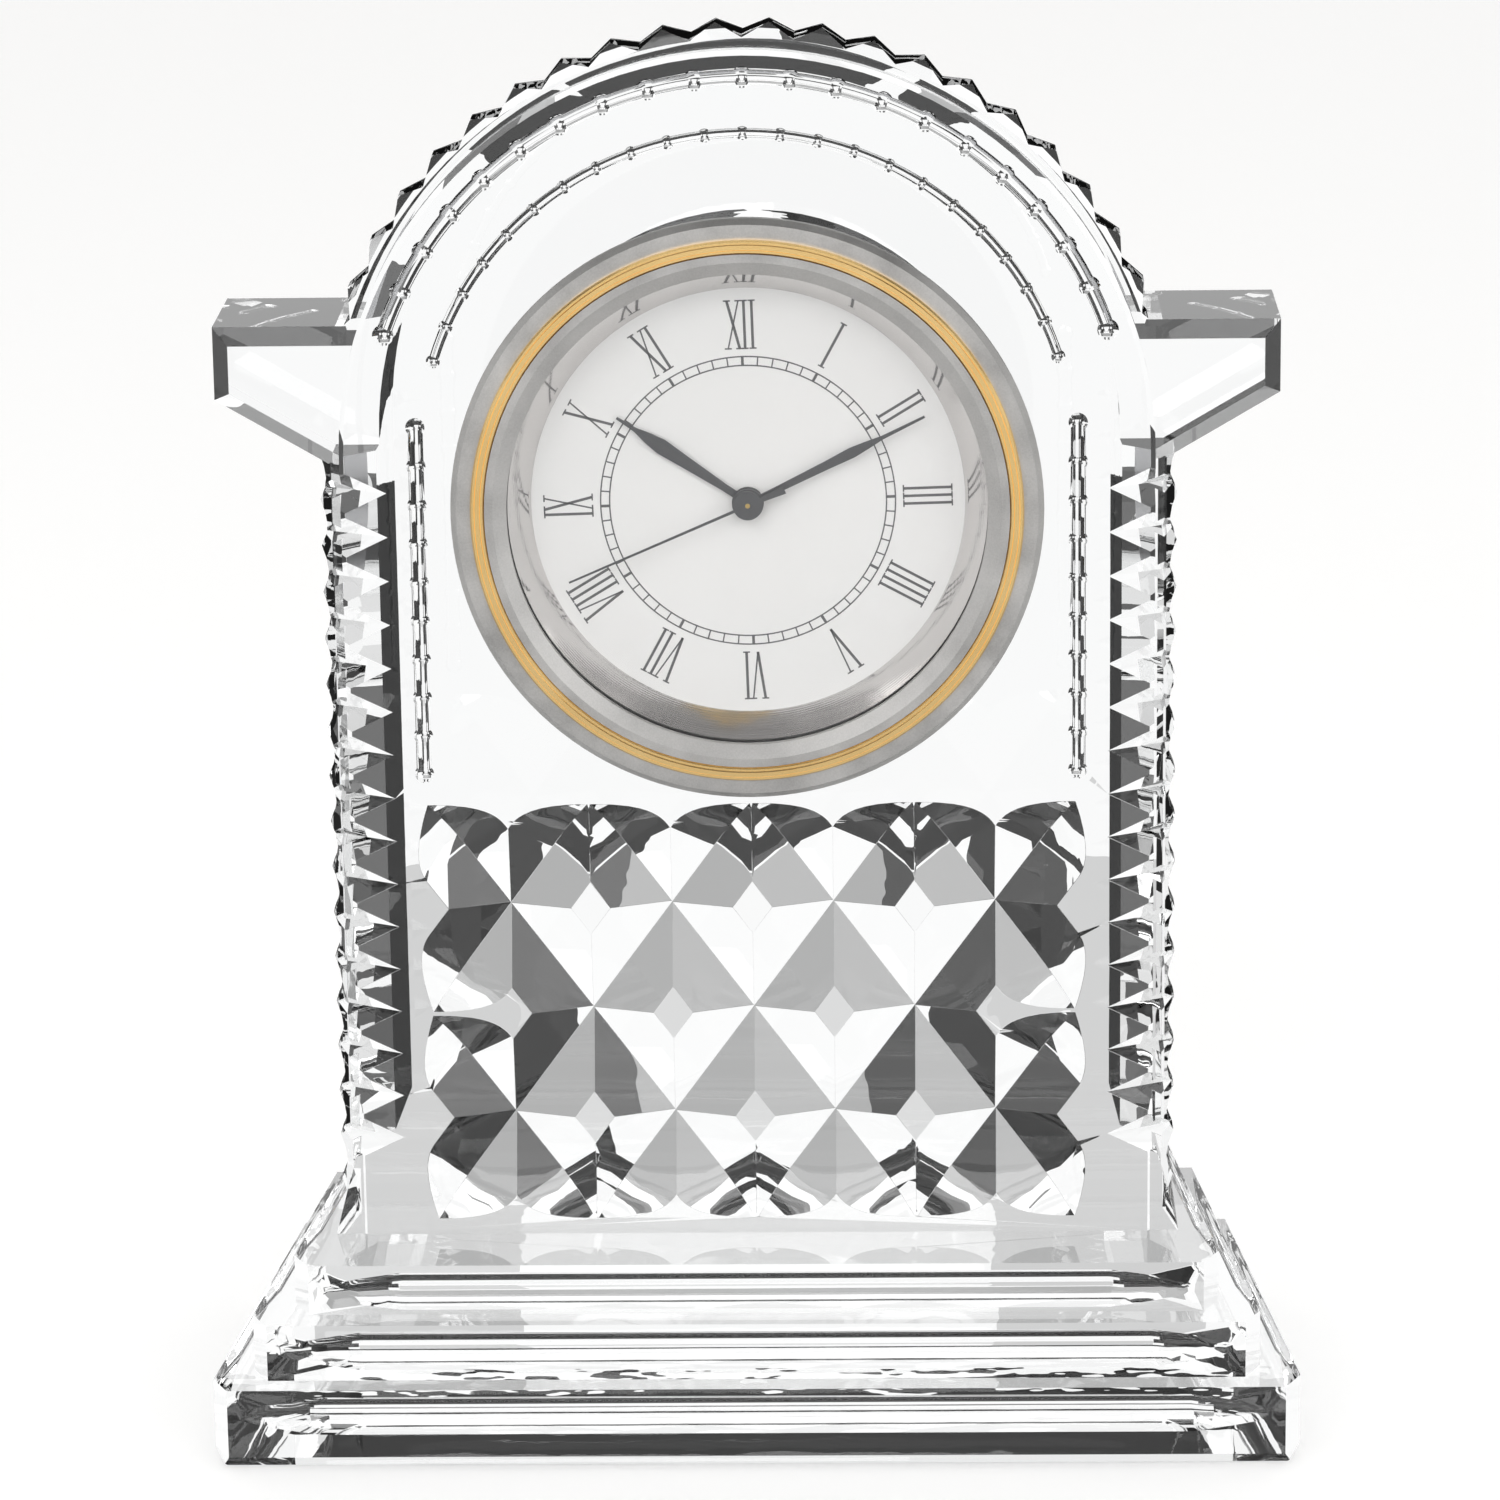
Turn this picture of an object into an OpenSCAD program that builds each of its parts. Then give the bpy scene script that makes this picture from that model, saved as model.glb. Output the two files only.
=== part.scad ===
// Crystal carriage clock: a cut and moulded crystal body with an arched, toothed top,
// two ears, a diamond panel and a stepped base, and a round quartz clock that pulls out
// of a through bore in its front.
// Millimetres, +Z up, front towards -Y. The origin is the middle of the underside.

/* [Crystal body] */
// Width of the body across its two columns
column_w = 99; // [96:0.5:106]
// Height of the arch's centre above the underside
arch_z = 123.5; // [122:0.5:130]
// Depth of the body, from its front face to its flat back
body_depth = 41.8; // [34:0.2:50]
// How far the bore's centre lies below the arch's centre
bore_drop = 6.5; // [4.5:0.5:8]
// Radius of the through bore that takes the clock
bore_r = 32; // [31.5:0.1:33]
// Small bevel where the front face meets the sides
front_bevel = 0.6; // [0.3:0.1:1]
// How much narrower each side of the body is at the back
rear_taper = 4.5; // [2:0.5:6]

/* [Toothed rim] */
// How far the rim's tooth tips stand out from the columns' sides
rim_reach = 2.8; // [2.2:0.1:3.4]
// Depth of the V between two teeth
tooth_depth = 1.6; // [1:0.1:2]
// Number of teeth in a full turn of the rim
tooth_count = 51; // [45:1:60]
// Depth behind the front face at which the rim starts
rim_start = 2.4; // [1.5:0.1:4]
// Thickness of the rim, front to back
rim_thick = 8; // [6:0.5:10]
// Depth of the scallops in the rim's straight sides
scallop_depth = 0.9; // [0.5:0.1:1.4]

/* [Ears] */
// How far each ear stands out from the column's side
ear_reach = 15.1; // [10:0.1:18]
// Height of the ear's top face above the arch's centre
ear_rise = 16; // [13:0.5:17]
// Height of the ear's outer end face
ear_end_h = 9; // [7:0.5:11]
// Height of the ear's sloping underside, from end face to column
ear_slope_h = 8; // [5:0.5:10]
// Depth of the ear, front to back
ear_depth = 20; // [14:1:24]
// Distance of the ear's front behind the body's front face
ear_setback = 0.8; // [0.5:0.1:2]
// Bevel along the ear's front edges
ear_bevel = 2; // [1:0.1:3]

/* [Stepped base] */
// Width of the bottom slab
slab_w = 134.4; // [130:0.2:150]
// Height of the bottom slab
slab_h = 10.4; // [9:0.2:13]
// How far the middle step stands back from the slab at each side
lower_step = 4.8; // [3.5:0.1:6]
// Height of the middle step
middle_h = 7.2; // [6:0.2:9]
// How far the upper step stands back from the middle step at each side
upper_step = 5; // [4:0.1:6]
// Height of the upper step
upper_h = 6.4; // [5.5:0.1:8]
// Height of the sloping plinth above the steps
plinth_h = 10.6; // [8:0.2:12]
// Depth of the top tread, in front of the body's face
plinth_run = 11.5; // [8:0.1:13]
// Depth of the upper tread
upper_tread = 3.9; // [3:0.1:6]
// Depth of the lower tread
lower_tread = 3.4; // [3:0.1:6]
// How much each side of the base runs inwards, per millimetre towards the back
side_taper = 0.11; // [0:0.01:0.14]
// Bevel round the underside
foot_bevel = 1.6; // [1:0.1:2.5]
// Width of the flat cut across each front corner, measured along the face
corner_cut = 2; // [1:0.1:3]
// Length of the same flat, measured along the side
corner_run = 4; // [2:0.1:6]
// Depth of the long flutes in the steps' risers
flute_depth = 1.2; // [0.8:0.1:1.8]
// Height of the long flutes
flute_h = 4.9; // [3.6:0.1:5.6]
// Height of the plain strip between a step's top edge and its flute
flute_strip = 0.9; // [0.4:0.1:1.4]
// Length over which a flute runs out into a point
flute_run = 11; // [6:0.5:16]
// Length left uncut at each end of a flute
flute_end = 0.6; // [0.3:0.1:2]

/* [Diamond panel] */
// Width of one diamond
diamond_w = 20; // [18:0.5:22]
// Height of one diamond
diamond_h = 27.2; // [25:0.2:27.8]
// Height of the panel's lowest points above the underside
panel_z = 25.8; // [24.8:0.2:27]
// Half the width of a V-cut at the face
cut_half_w = 6.1; // [4:0.1:6.5]
// Depth of a V-cut
cut_depth = 2.8; // [1.5:0.1:3.2]
// Radius of the wheel whose shape the cuts end in
cut_wheel_r = 12; // [8:0.5:16]
// How far a cut stops short of the diamond's corner that it ends on
cut_short = 0.3; // [0.2:0.1:0.6]

/* [Bead grooves] */
// Distance of the outer beaded groove from the body's side
outer_bead_in = 3.2; // [2.7:0.1:3.8]
// Distance between the two beaded grooves
bead_gap = 6.7; // [5.5:0.1:7.5]
// Half the width of an outer bead at the face
outer_bead_half = 1.3; // [0.9:0.05:1.6]
// Half the width of an inner bead at the face
inner_bead_half = 0.85; // [0.6:0.05:1.2]
// Depth of a bead, as a share of its half width
bead_depth_share = 0.55; // [0.3:0.05:0.7]
// Angle between two beads of the outer groove
outer_bead_step = 7.06; // [6:0.1:9]
// Angle between two beads of the inner groove
inner_bead_step = 6.56; // [5.5:0.1:8]
// Angle from the top to which the outer groove reaches, each side
outer_bead_end = 76; // [60:1:80]
// Angle from the top to which the inner groove reaches, each side
inner_bead_end = 73; // [60:1:80]
// Distance of the straight beaded grooves from the body's side
strip_in = 9.4; // [8.4:0.1:10.4]
// Height of the lowest bead of the straight grooves
strip_low = 84; // [82.5:0.5:88]
// Height of the highest bead of the straight grooves
strip_high = 127.5; // [120:0.5:129]
// Number of beads in a straight groove
strip_beads = 10; // [6:1:12]

/* [Column notches] */
// Height of one wedge-shaped notch on the column's front edge
notch_pitch = 5.5; // [5:0.1:6.5]
// Number of notches on each column
notch_count = 16; // [12:1:16]
// Reach of a notch from the column's side across its face
notch_reach = 5.7; // [4:0.1:6.5]
// Depth of a notch at the column's side
notch_depth = 3.1; // [2:0.1:3.6]

/* [Bezel and lens] */
// How far the satin flange laps over the crystal round the bore
flange_lap = 4; // [3:0.1:5]
// Thickness of the satin flange
flange_t = 1.6; // [1.2:0.1:2.2]
// How far the gold ring's middle lies outside the bore's radius
gold_out = 0.7; // [0.4:0.05:1]
// Width of the gold ring
gold_w = 1.7; // [1.2:0.1:2]
// Height of the gold ring above the flange
gold_h = 1.1; // [0.8:0.1:1.6]
// Width of the lens's edge that the inner ring covers
lens_ledge = 1.1; // [0.9:0.1:1.8]
// Thickness of the lens
lens_t = 1.4; // [1:0.1:2]
// How far the polished cone runs inwards between lens and dial
cone_run = 2.7; // [2.2:0.1:3.7]
// Depth of the polished cone between lens and dial
surround_depth = 3.5; // [3.2:0.1:4.5]
// Thickness of the dial
dial_t = 0.4; // [0.3:0.05:0.6]

/* [Case] */
// Wall of the case cup
cup_wall = 0.8; // [0.6:0.1:1.2]
// Gap between the case cup and the bore
cup_gap = 0.8; // [0.5:0.1:1.2]
// Depth of the case cup behind the front face
cup_depth = 18; // [17.6:0.1:20]
// Width of the rubber grip ring along the bore
grip_w = 6; // [4:0.5:8]
// Radial clearance of a sliding or turning fit
fit_gap = 0.05; // [0.03:0.01:0.08]
// Radial clearance between pieces that stay together
seat_gap = 0.1; // [0.05:0.01:0.15]

/* [Hands] */
// Clock angle of the hour hand
hour_at = 304; // [0:1:359]
// Clock angle of the minute hand
minute_at = 63.6; // [0:0.1:359]
// Clock angle of the second hand
second_at = 246.6; // [0:0.1:359]
// Length of the hour hand from the centre
hour_len = 19.1; // [15:0.1:21]
// Length of the minute hand from the centre
minute_len = 24.1; // [20:0.1:25]
// Length of the second hand from the centre
second_len = 23.9; // [20:0.1:25]
// Length of the second hand's tail
second_tail = 4.9; // [3:0.1:6]
// Widest part of the hour hand
hour_w = 1.9; // [1.4:0.1:2.6]
// Widest part of the minute hand
minute_w = 1.3; // [1:0.1:2]
// Thickness of a hand
hand_t = 0.25; // [0.15:0.05:0.35]
// Radius of the hands' bosses
hub_r = 1.95; // [1.7:0.05:2.2]

/* [Movement] */
// Width of the ring between the case cup and the main plate
holder_w = 6.3; // [5.3:0.1:6.8]
// Thickness of the main plate
plate_t = 1; // [0.8:0.1:1.2]
// Space between dial and main plate for the hour and minute wheels
motion_h = 2.4; // [2.3:0.1:3]
// Space between the main plate and the rear bridge for the train
train_h = 6; // [6:0.1:6.4]
// Thickness of the rear bridge
bridge_t = 0.8; // [0.6:0.1:1]
// Radius of the seconds arbor
arbor_r = 0.3; // [0.25:0.01:0.35]
// Wall of the minute hand's tube and of the hour hand's tube
tube_wall = 0.42; // [0.35:0.01:0.5]
// Radius of the smaller arbors and posts
pivot_r = 0.35; // [0.3:0.01:0.4]
// Thickness of the wheels
wheel_t = 0.5; // [0.4:0.05:0.6]

/* [Wheels and pinions] */
// Tooth size of the minute hand's pinion and the minute wheel
motion_module = 0.25; // [0.24:0.005:0.26]
// Tooth size between rotor and intermediate wheel
rotor_module = 0.16; // [0.15:0.005:0.17]
// Direction from the centre to the minute wheel
minute_wheel_dir = 60; // [50:1:70]
// Direction from the minute wheel to the setting stem
setting_dir = 80; // [70:1:95]
// Direction from the centre to the third wheel
third_dir = 150; // [140:1:160]
// Distance from the centre to the third wheel
third_dist = 6.12; // [6:0.02:6.4]
// Direction from the centre to the intermediate wheel
intermediate_dir = 30; // [25:1:40]
// Distance from the centre to the intermediate wheel
intermediate_dist = 6.3; // [6.3:0.05:6.6]
// Direction from the intermediate wheel to the rotor
rotor_dir = -20; // [-30:1:-10]
// Radius of the rotor's magnet
magnet_r = 1.9; // [1.5:0.1:2]

/* [Coil, circuit and battery] */
// Distance of the coil from the centre
coil_x = 17; // [16.5:0.1:17.5]
// Length of the coil
coil_len = 15; // [12:0.5:16]
// Radius of the coil
coil_r = 2.3; // [1.8:0.1:2.4]
// Radius of the button cell
cell_r = 5.8; // [4.75:0.05:6]
// Thickness of the button cell
cell_t = 5.2; // [3.6:0.1:5.2]
// Radius of the setting knob
knob_r = 3.2; // [2.5:0.1:3.5]
// Height of the setting knob
knob_h = 3.2; // [2:0.1:4]
// Radius of the setting stem
stem_r = 0.8; // [0.6:0.05:0.9]
// Radius of the battery cap
cap_r = 7.6; // [7.4:0.1:8]

/* [Hidden] */
$fn = 64;
// A little overlap that makes cutters pass right through
over = 0.5;

// How far the sloping plinth's foot stands back from the upper step at each side
plinth_in = 4.5;

// Heights and depths of the crystal
middle_z = slab_h + middle_h;
step_z = middle_z + upper_h;
plinth_z = step_z + plinth_h;
total_depth = body_depth + plinth_run + upper_tread + lower_tread;
back_y = total_depth / 2;
face_y = back_y - body_depth;
upper_y = face_y - plinth_run;
middle_y = upper_y - upper_tread;
slab_y = middle_y - lower_tread;
middle_w = slab_w - 2 * lower_step;
upper_w = middle_w - 2 * upper_step;
plinth_low_w = upper_w - 2 * plinth_in;
column_half = column_w / 2;
insert_z = arch_z - bore_drop;
outer_bead_r = column_half - outer_bead_in;
inner_bead_r = outer_bead_r - bead_gap;
strip_x = column_half - strip_in;
rim_r = column_half + rim_reach;
valley_r = rim_r - tooth_depth;
rear_half = column_half - rear_taper;
rim_end = rim_start + rim_thick;

// Heights in the clock's own frame: 0 is the crystal's face, plus is towards the viewer
gold_z = flange_t;
lip_z = 0.4;
lens_back = lip_z - lens_t;
gasket_t = 0.5;
surround_front = lens_back - gasket_t;
dial_front = surround_front - surround_depth;
dial_back = dial_front - dial_t;
plate_front = dial_back - motion_h;
plate_back = plate_front - plate_t;
bridge_front = plate_back - train_h;
bridge_back = bridge_front - bridge_t;
cup_back = -cup_depth;
cup_floor_t = 1;
cup_floor = cup_back + cup_floor_t;

// Radii of the case
cup_r = bore_r - cup_gap;
cup_in_r = cup_r - cup_wall;
pack_r = cup_in_r - seat_gap;
flange_r = bore_r + flange_lap;
gold_r = bore_r + gold_out;
sight_r = pack_r - lens_ledge;
dial_sight_r = sight_r - cone_run;
plate_r = pack_r - holder_w;

// Hands, from the dial outwards
hour_z = dial_front + 0.6;
minute_z = hour_z + 0.9;
second_z = minute_z + 0.8;
boss_rise = 0.35;

// Wheel sizes: numbers of teeth, and tooth sizes that give the same centre distance
cannon_teeth = 12;
minute_wheel_teeth = 36;
minute_pinion_teeth = 10;
hour_wheel_teeth = 40;
setting_teeth = 12;
second_pinion_teeth = 8;
third_wheel_teeth = 60;
third_pinion_teeth = 8;
centre_wheel_teeth = 64;
second_wheel_teeth = 60;
intermediate_pinion_teeth = 10;
intermediate_wheel_teeth = 40;
rotor_teeth = 8;
minute_dist = motion_module * (cannon_teeth + minute_wheel_teeth) / 2;
hour_module = 2 * minute_dist / (minute_pinion_teeth + hour_wheel_teeth);
setting_dist = motion_module * (minute_wheel_teeth + setting_teeth) / 2;
third_module = 2 * third_dist / (second_pinion_teeth + third_wheel_teeth);
centre_module = 2 * third_dist / (third_pinion_teeth + centre_wheel_teeth);
second_module = 2 * intermediate_dist / (intermediate_pinion_teeth + second_wheel_teeth);
rotor_dist = rotor_module * (rotor_teeth + intermediate_wheel_teeth) / 2;

// Places of the arbors on the plate
function toward(angle, distance) = [distance * cos(angle), distance * sin(angle)];
minute_wheel_at = toward(minute_wheel_dir, minute_dist);
setting_at = minute_wheel_at + toward(setting_dir, setting_dist);
third_at = toward(third_dir, third_dist);
intermediate_at = toward(intermediate_dir, intermediate_dist);
rotor_at = intermediate_at + toward(rotor_dir, rotor_dist);
battery_at = [-9.5, -12.5];
pillars_at = [[-2, 19.5], [-20, 2], [-1.2, -20], [12, 17]];
coil_screws_at = [[coil_x, 9.2], [coil_x, -9.2]];
dial_feet_at = [[-17, -8], [18.5, 10]];

// Tubes round the seconds arbor
cannon_in = arbor_r + fit_gap;
cannon_out = cannon_in + tube_wall;
hour_in = cannon_out + fit_gap;
hour_out = hour_in + tube_wall;

// Levels of the wheels
cannon_pinion_z = plate_front + 0.1;
hour_level = plate_front + 1.15;
centre_level = plate_back - 1;
third_level = plate_back - 2.8;
second_level = plate_back - 4.2;
intermediate_level = plate_back - 5.4;
pinion_t = 0.9;
magnet_h = 2;
magnet_z = plate_back - 3.9;
stator_z = plate_back - 3.2;
stator_t = 0.6;
core_t = 0.6;
board_t = 0.7;

// Lays a drawing on the body's front face: x stays, y is height, z is towards the viewer
module on_face() {
    translate([0, face_y, 0]) rotate([90, 0, 0]) children();
}

// The clock's own frame, centred on the bore
module on_bore() {
    translate([0, face_y, insert_z]) rotate([90, 0, 0]) children();
}

module ring(outer, inner, z0, z1) {
    difference() {
        translate([0, 0, z0]) cylinder(r = outer, h = z1 - z0);
        translate([0, 0, z0 - over]) cylinder(r = inner, h = z1 - z0 + 2 * over);
    }
}

module disc(r, z0, z1) {
    translate([0, 0, z0]) cylinder(r = r, h = z1 - z0);
}

// Solid with one side profile, turned round the arch and drawn down the columns.
// A profile point is a distance from the middle line and a depth behind the face.
module arched(profile) {
    on_face() translate([0, arch_z, 0])
        rotate_extrude(angle = 180, $fn = 120) rotate([0, 0, -90])
            polygon([for (p = profile) [p[1], p[0]]]);
    for (side = [0, 1])
        mirror([side, 0, 0])
            translate([0, face_y, step_z])
                linear_extrude(arch_z - step_z) polygon(profile);
}

// Outline of the rim: teeth round the arch, scallops down the columns
scallops = 17;
scallop_pitch = (arch_z - step_z) / scallops;
tooth_step = 360 / tooth_count;
function tooth_tips() = [for (k = [0 : floor(90 / tooth_step)]) (k + 0.5) * tooth_step];
function arch_points() = [
    for (a = tooth_tips())
        each [
            [valley_r * sin(a - tooth_step / 2), arch_z + valley_r * cos(a - tooth_step / 2)],
            [rim_r * sin(a), arch_z + rim_r * cos(a)]
        ]
];
function side_points() = [
    for (k = [0 : scallops - 1], f = [0, 0.25, 0.5, 0.75])
        [rim_r - scallop_depth * sin(180 * f), arch_z - (k + f) * scallop_pitch]
];

module rim_outline() {
    for (side = [0, 1])
        mirror([side, 0])
            polygon(concat(
                [[0, step_z]],
                [[0, arch_z + valley_r]],
                [for (p = arch_points()) if (p[1] > arch_z + 1) p],
                side_points(),
                [[rim_r, step_z]]
            ));
}

module toothed_rim() {
    intersection() {
        on_face() translate([0, 0, -rim_end]) linear_extrude(rim_thick) rim_outline();
        arched([
            [0, 0],
            [column_half - 0.5, 0],
            [rim_r, rim_start + 2.4],
            [rim_r, rim_end - 2],
            [column_half - 0.5, rim_end + 1],
            [0, rim_end + 1]
        ]);
    }
}

module body_block() {
    arched([
        [0, 0],
        [column_half - front_bevel, 0],
        [column_half, front_bevel],
        [column_half, rim_end],
        [rear_half + 0.8, rim_end + 5],
        [rear_half, body_depth],
        [0, body_depth]
    ]);
}

// Bevel with equal legs along one edge of a drawing's front
module edge_bevel(p, q, leg) {
    run = q - p;
    length = norm(run);
    translate([p[0], p[1], 0])
        rotate([0, 0, atan2(run[1], run[0])])
            translate([length / 2, 0, 0])
                rotate([45, 0, 0])
                    cube([length + 2 * leg, leg * sqrt(2), leg * sqrt(2)], center = true);
}

module ear() {
    end_x = column_half + ear_reach;
    top = arch_z + ear_rise;
    low = top - ear_end_h;
    root_low = low - ear_slope_h;
    root_x = column_half + 1.5;
    // Inside the body, where the ear grows out of it
    root_depth = 9;
    inner_x = column_half - root_depth;
    on_face() translate([0, 0, -ear_setback])
        difference() {
            translate([0, 0, -ear_depth])
                linear_extrude(ear_depth)
                    polygon([
                        [inner_x, root_low], [root_x, root_low], [end_x, low],
                        [end_x, top], [inner_x, top]
                    ]);
            edge_bevel([root_x, root_low], [end_x, low], ear_bevel);
            edge_bevel([end_x, low], [end_x, top], ear_bevel);
            edge_bevel([end_x, top], [inner_x + 6, top], ear_bevel);
        }
}

// Block with sloping front and sides and a flat back
module sloped_block(w0, w1, y0, y1, z0, z1) {
    intersection() {
        translate([0, back_y + over, 0]) rotate([90, 0, 0])
            linear_extrude(total_depth + 2 * over)
                polygon([[-w0 / 2, z0], [w0 / 2, z0], [w1 / 2, z1], [-w1 / 2, z1]]);
        translate([-slab_w, 0, 0]) rotate([90, 0, 90])
            linear_extrude(2 * slab_w)
                polygon([[y0, z0], [back_y, z0], [back_y, z1], [y1, z1]]);
    }
}

// Block of one step: canted front corners, and sides that run inwards towards the back
module step_block(w, y, z0, z1) {
    half = w / 2;
    back_half = half - side_taper * (back_y - y - corner_run);
    translate([0, 0, z0])
        linear_extrude(z1 - z0)
            polygon([
                [corner_cut - half, y], [half - corner_cut, y], [half, y + corner_run],
                [back_half, back_y], [-back_half, back_y], [-half, y + corner_run]
            ]);
}

// Long flute with pointed ends along the X axis, cut into a face that looks to -Y
module long_flute(length) {
    half_h = flute_h / 2;
    r = (half_h * half_h + flute_depth * flute_depth) / (2 * flute_depth);
    tip_r = r - flute_depth;
    straight = length / 2 - flute_run;
    // Past its point the cutter goes on a little, clear of the face
    past = 1;
    past_r = tip_r - past * flute_depth / flute_run;
    translate([0, flute_depth - r, 0]) rotate([0, 90, 0])
        rotate_extrude($fn = 96)
            polygon([
                [0, -length / 2 - past], [past_r, -length / 2 - past], [r, -straight],
                [r, straight], [past_r, length / 2 + past], [0, length / 2 + past]
            ]);
}

// The flutes along the front and both sides of one step
module step_flutes(w, y, z) {
    flute_z = z - flute_strip - flute_h / 2;
    side_angle = atan(side_taper);
    side_y = y + corner_run;
    side_len = (back_y - side_y) / cos(side_angle);
    translate([0, y, flute_z]) long_flute(w - 2 * corner_cut - 2 * flute_end);
    for (side = [-1, 1])
        translate([side * w / 2, side_y, flute_z])
            rotate([0, 0, side * (90 + side_angle)])
                translate([side * side_len / 2, 0, 0])
                    long_flute(side_len - 2 * flute_end);
}

module stepped_base() {
    difference() {
        union() {
            step_block(slab_w, slab_y, foot_bevel, slab_h);
            intersection() {
                step_block(slab_w, slab_y, 0, foot_bevel);
                sloped_block(slab_w - 2 * foot_bevel, slab_w, slab_y + foot_bevel, slab_y, 0, foot_bevel);
            }
        }
        step_flutes(slab_w, slab_y, slab_h);
    }
    difference() {
        step_block(middle_w, middle_y, slab_h - over, middle_z);
        step_flutes(middle_w, middle_y, middle_z);
    }
    difference() {
        step_block(upper_w, upper_y, middle_z - over, step_z);
        step_flutes(upper_w, upper_y, step_z);
    }
}

// Sloping foot of the body at the columns' sides
module side_plinth() {
    plinth_top_w = column_w + 1;
    plinth_front = face_y + 0.3;
    sloped_block(plinth_low_w, plinth_top_w, plinth_front, plinth_front, step_z - over, plinth_z);
}

// One V-cut across the face from tip to tip, with its ends run out by the wheel
module v_cut(p, q, depth) {
    run = q - p;
    length = norm(run);
    slope = cut_half_w / depth;
    // Height above the face to which the cutter reaches
    top = 1.5;
    run_out = sqrt(cut_wheel_r * cut_wheel_r - pow(cut_wheel_r - depth, 2));
    reach = (depth + top) * slope;
    low = cut_short + run_out;
    high = length - low;
    translate([p[0], p[1], 0])
        rotate([0, 0, atan2(run[1], run[0])]) {
            translate([low, 0, 0])
                rotate([90, 0, 90])
                    linear_extrude(high - low)
                        polygon([[0, -depth], [reach, top], [-reach, top]]);
            for (x = [low, high])
                translate([x, 0, cut_wheel_r - depth])
                    rotate([90, 0, 0])
                        rotate_extrude($fn = 96)
                            polygon([
                                [0, -reach], [cut_wheel_r - depth - top, -reach],
                                [cut_wheel_r, 0],
                                [cut_wheel_r - depth - top, reach], [0, reach]
                            ]);
        }
}

// The panel's cuts that fall to the right; the others are their mirror image
module panel_cuts(depth) {
    top = panel_z + 2 * diamond_h;
    middle = panel_z + diamond_h;
    for (k = [-2 : 0])
        v_cut([k * diamond_w, top], [(k + 2) * diamond_w, panel_z], depth);
    v_cut([diamond_w, top], [2 * diamond_w, middle], depth);
    v_cut([-2 * diamond_w, middle], [-diamond_w, panel_z], depth);
}

// The cuts that cross the first ones go a little deeper, so no four facets share one point
cross_deeper = 0.04;
module diamond_panel() {
    panel_cuts(cut_depth);
    mirror([1, 0, 0]) panel_cuts(cut_depth + cross_deeper);
}

// Radius and height of a ball that leaves a dimple of a given half width and depth
function ball_r(half, depth) = (half * half + depth * depth) / (2 * depth);

module dimple(half) {
    depth = half * bead_depth_share;
    r = ball_r(half, depth);
    translate([0, 0, r - depth]) sphere(r = r, $fn = 48);
}

module bead_arc(centre_z, r, half, step, ends) {
    depth = half * bead_depth_share * 0.8;
    channel_half = half * 0.72;
    channel_r = ball_r(channel_half, depth);
    beads = floor(ends / step);
    translate([0, centre_z, 0]) {
        rotate([0, 0, 90 - beads * step])
            translate([0, 0, channel_r - depth])
                rotate_extrude(angle = 2 * beads * step, $fn = 180)
                    translate([r, 0]) circle(r = channel_r, $fn = 48);
        for (k = [-beads : beads])
            rotate([0, 0, k * step]) translate([0, r, 0]) dimple(half);
    }
}

module bead_strip(x) {
    depth = outer_bead_half * bead_depth_share * 0.8;
    channel_half = outer_bead_half * 0.72;
    channel_r = ball_r(channel_half, depth);
    translate([x, strip_low, channel_r - depth])
        rotate([-90, 0, 0]) cylinder(r = channel_r, h = strip_high - strip_low, $fn = 48);
    for (k = [0 : strip_beads - 1])
        translate([x, strip_low + k * (strip_high - strip_low) / (strip_beads - 1), 0])
            dimple(outer_bead_half * 0.9);
}

// Wedge-shaped notches down one column's front edge
module column_notches() {
    tip_x = column_half - notch_reach;
    tilt = atan2(notch_depth, notch_reach);
    wedge_h = 8;
    slope = (notch_pitch / 2) / (notch_depth * cos(tilt));
    for (k = [0 : notch_count - 1])
        translate([tip_x, plinth_z - 0.5 + (k + 0.5) * notch_pitch, 0])
            rotate([0, tilt, 0]) rotate([90, 0, 90])
                linear_extrude(notch_reach * 2.5)
                    polygon([[0, 0], [wedge_h * slope, wedge_h], [-wedge_h * slope, wedge_h]]);
}

// The face is cut before the steps join it, because the cutters pass through where the steps stand
module cut_body() {
    difference() {
        union() {
            body_block();
            toothed_rim();
            for (side = [0, 1]) mirror([side, 0, 0]) ear();
            side_plinth();
        }
        on_face() diamond_panel();
        on_face() for (side = [0, 1]) mirror([side, 0, 0]) column_notches();
        on_face() for (side = [0, 1]) mirror([side, 0, 0]) bead_strip(strip_x);
        on_face() bead_arc(arch_z, inner_bead_r, inner_bead_half, inner_bead_step, inner_bead_end);
        on_face() bead_arc(arch_z, outer_bead_r, outer_bead_half, outer_bead_step, outer_bead_end);
        on_bore() disc(bore_r, -body_depth - over, over);
    }
}

module crystal_body() {
    color([0.93, 0.95, 0.96, 0.45])
        union() {
            cut_body();
            stepped_base();
        }
}

// Bezel, lens and dial

module bezel_flange() {
    color("silver") on_bore()
        rotate_extrude($fn = 180)
            polygon([
                [cup_in_r, 0], [flange_r, 0], [flange_r, flange_t - 0.7],
                [flange_r - 0.7, flange_t], [cup_in_r, flange_t]
            ]);
}

module gold_ring() {
    half = gold_w / 2;
    color("goldenrod") on_bore()
        rotate_extrude($fn = 180)
            polygon([
                [gold_r - half, gold_z], [gold_r + half, gold_z],
                [gold_r + half, gold_z + 0.5 * gold_h], [gold_r + 0.75 * half, gold_z + 0.8 * gold_h],
                [gold_r + 0.45 * half, gold_z + 0.8 * gold_h], [gold_r + 0.3 * half, gold_z + gold_h],
                [gold_r - 0.3 * half, gold_z + gold_h], [gold_r - 0.45 * half, gold_z + 0.8 * gold_h],
                [gold_r - 0.75 * half, gold_z + 0.8 * gold_h], [gold_r - half, gold_z + 0.5 * gold_h]
            ]);
}

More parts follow.
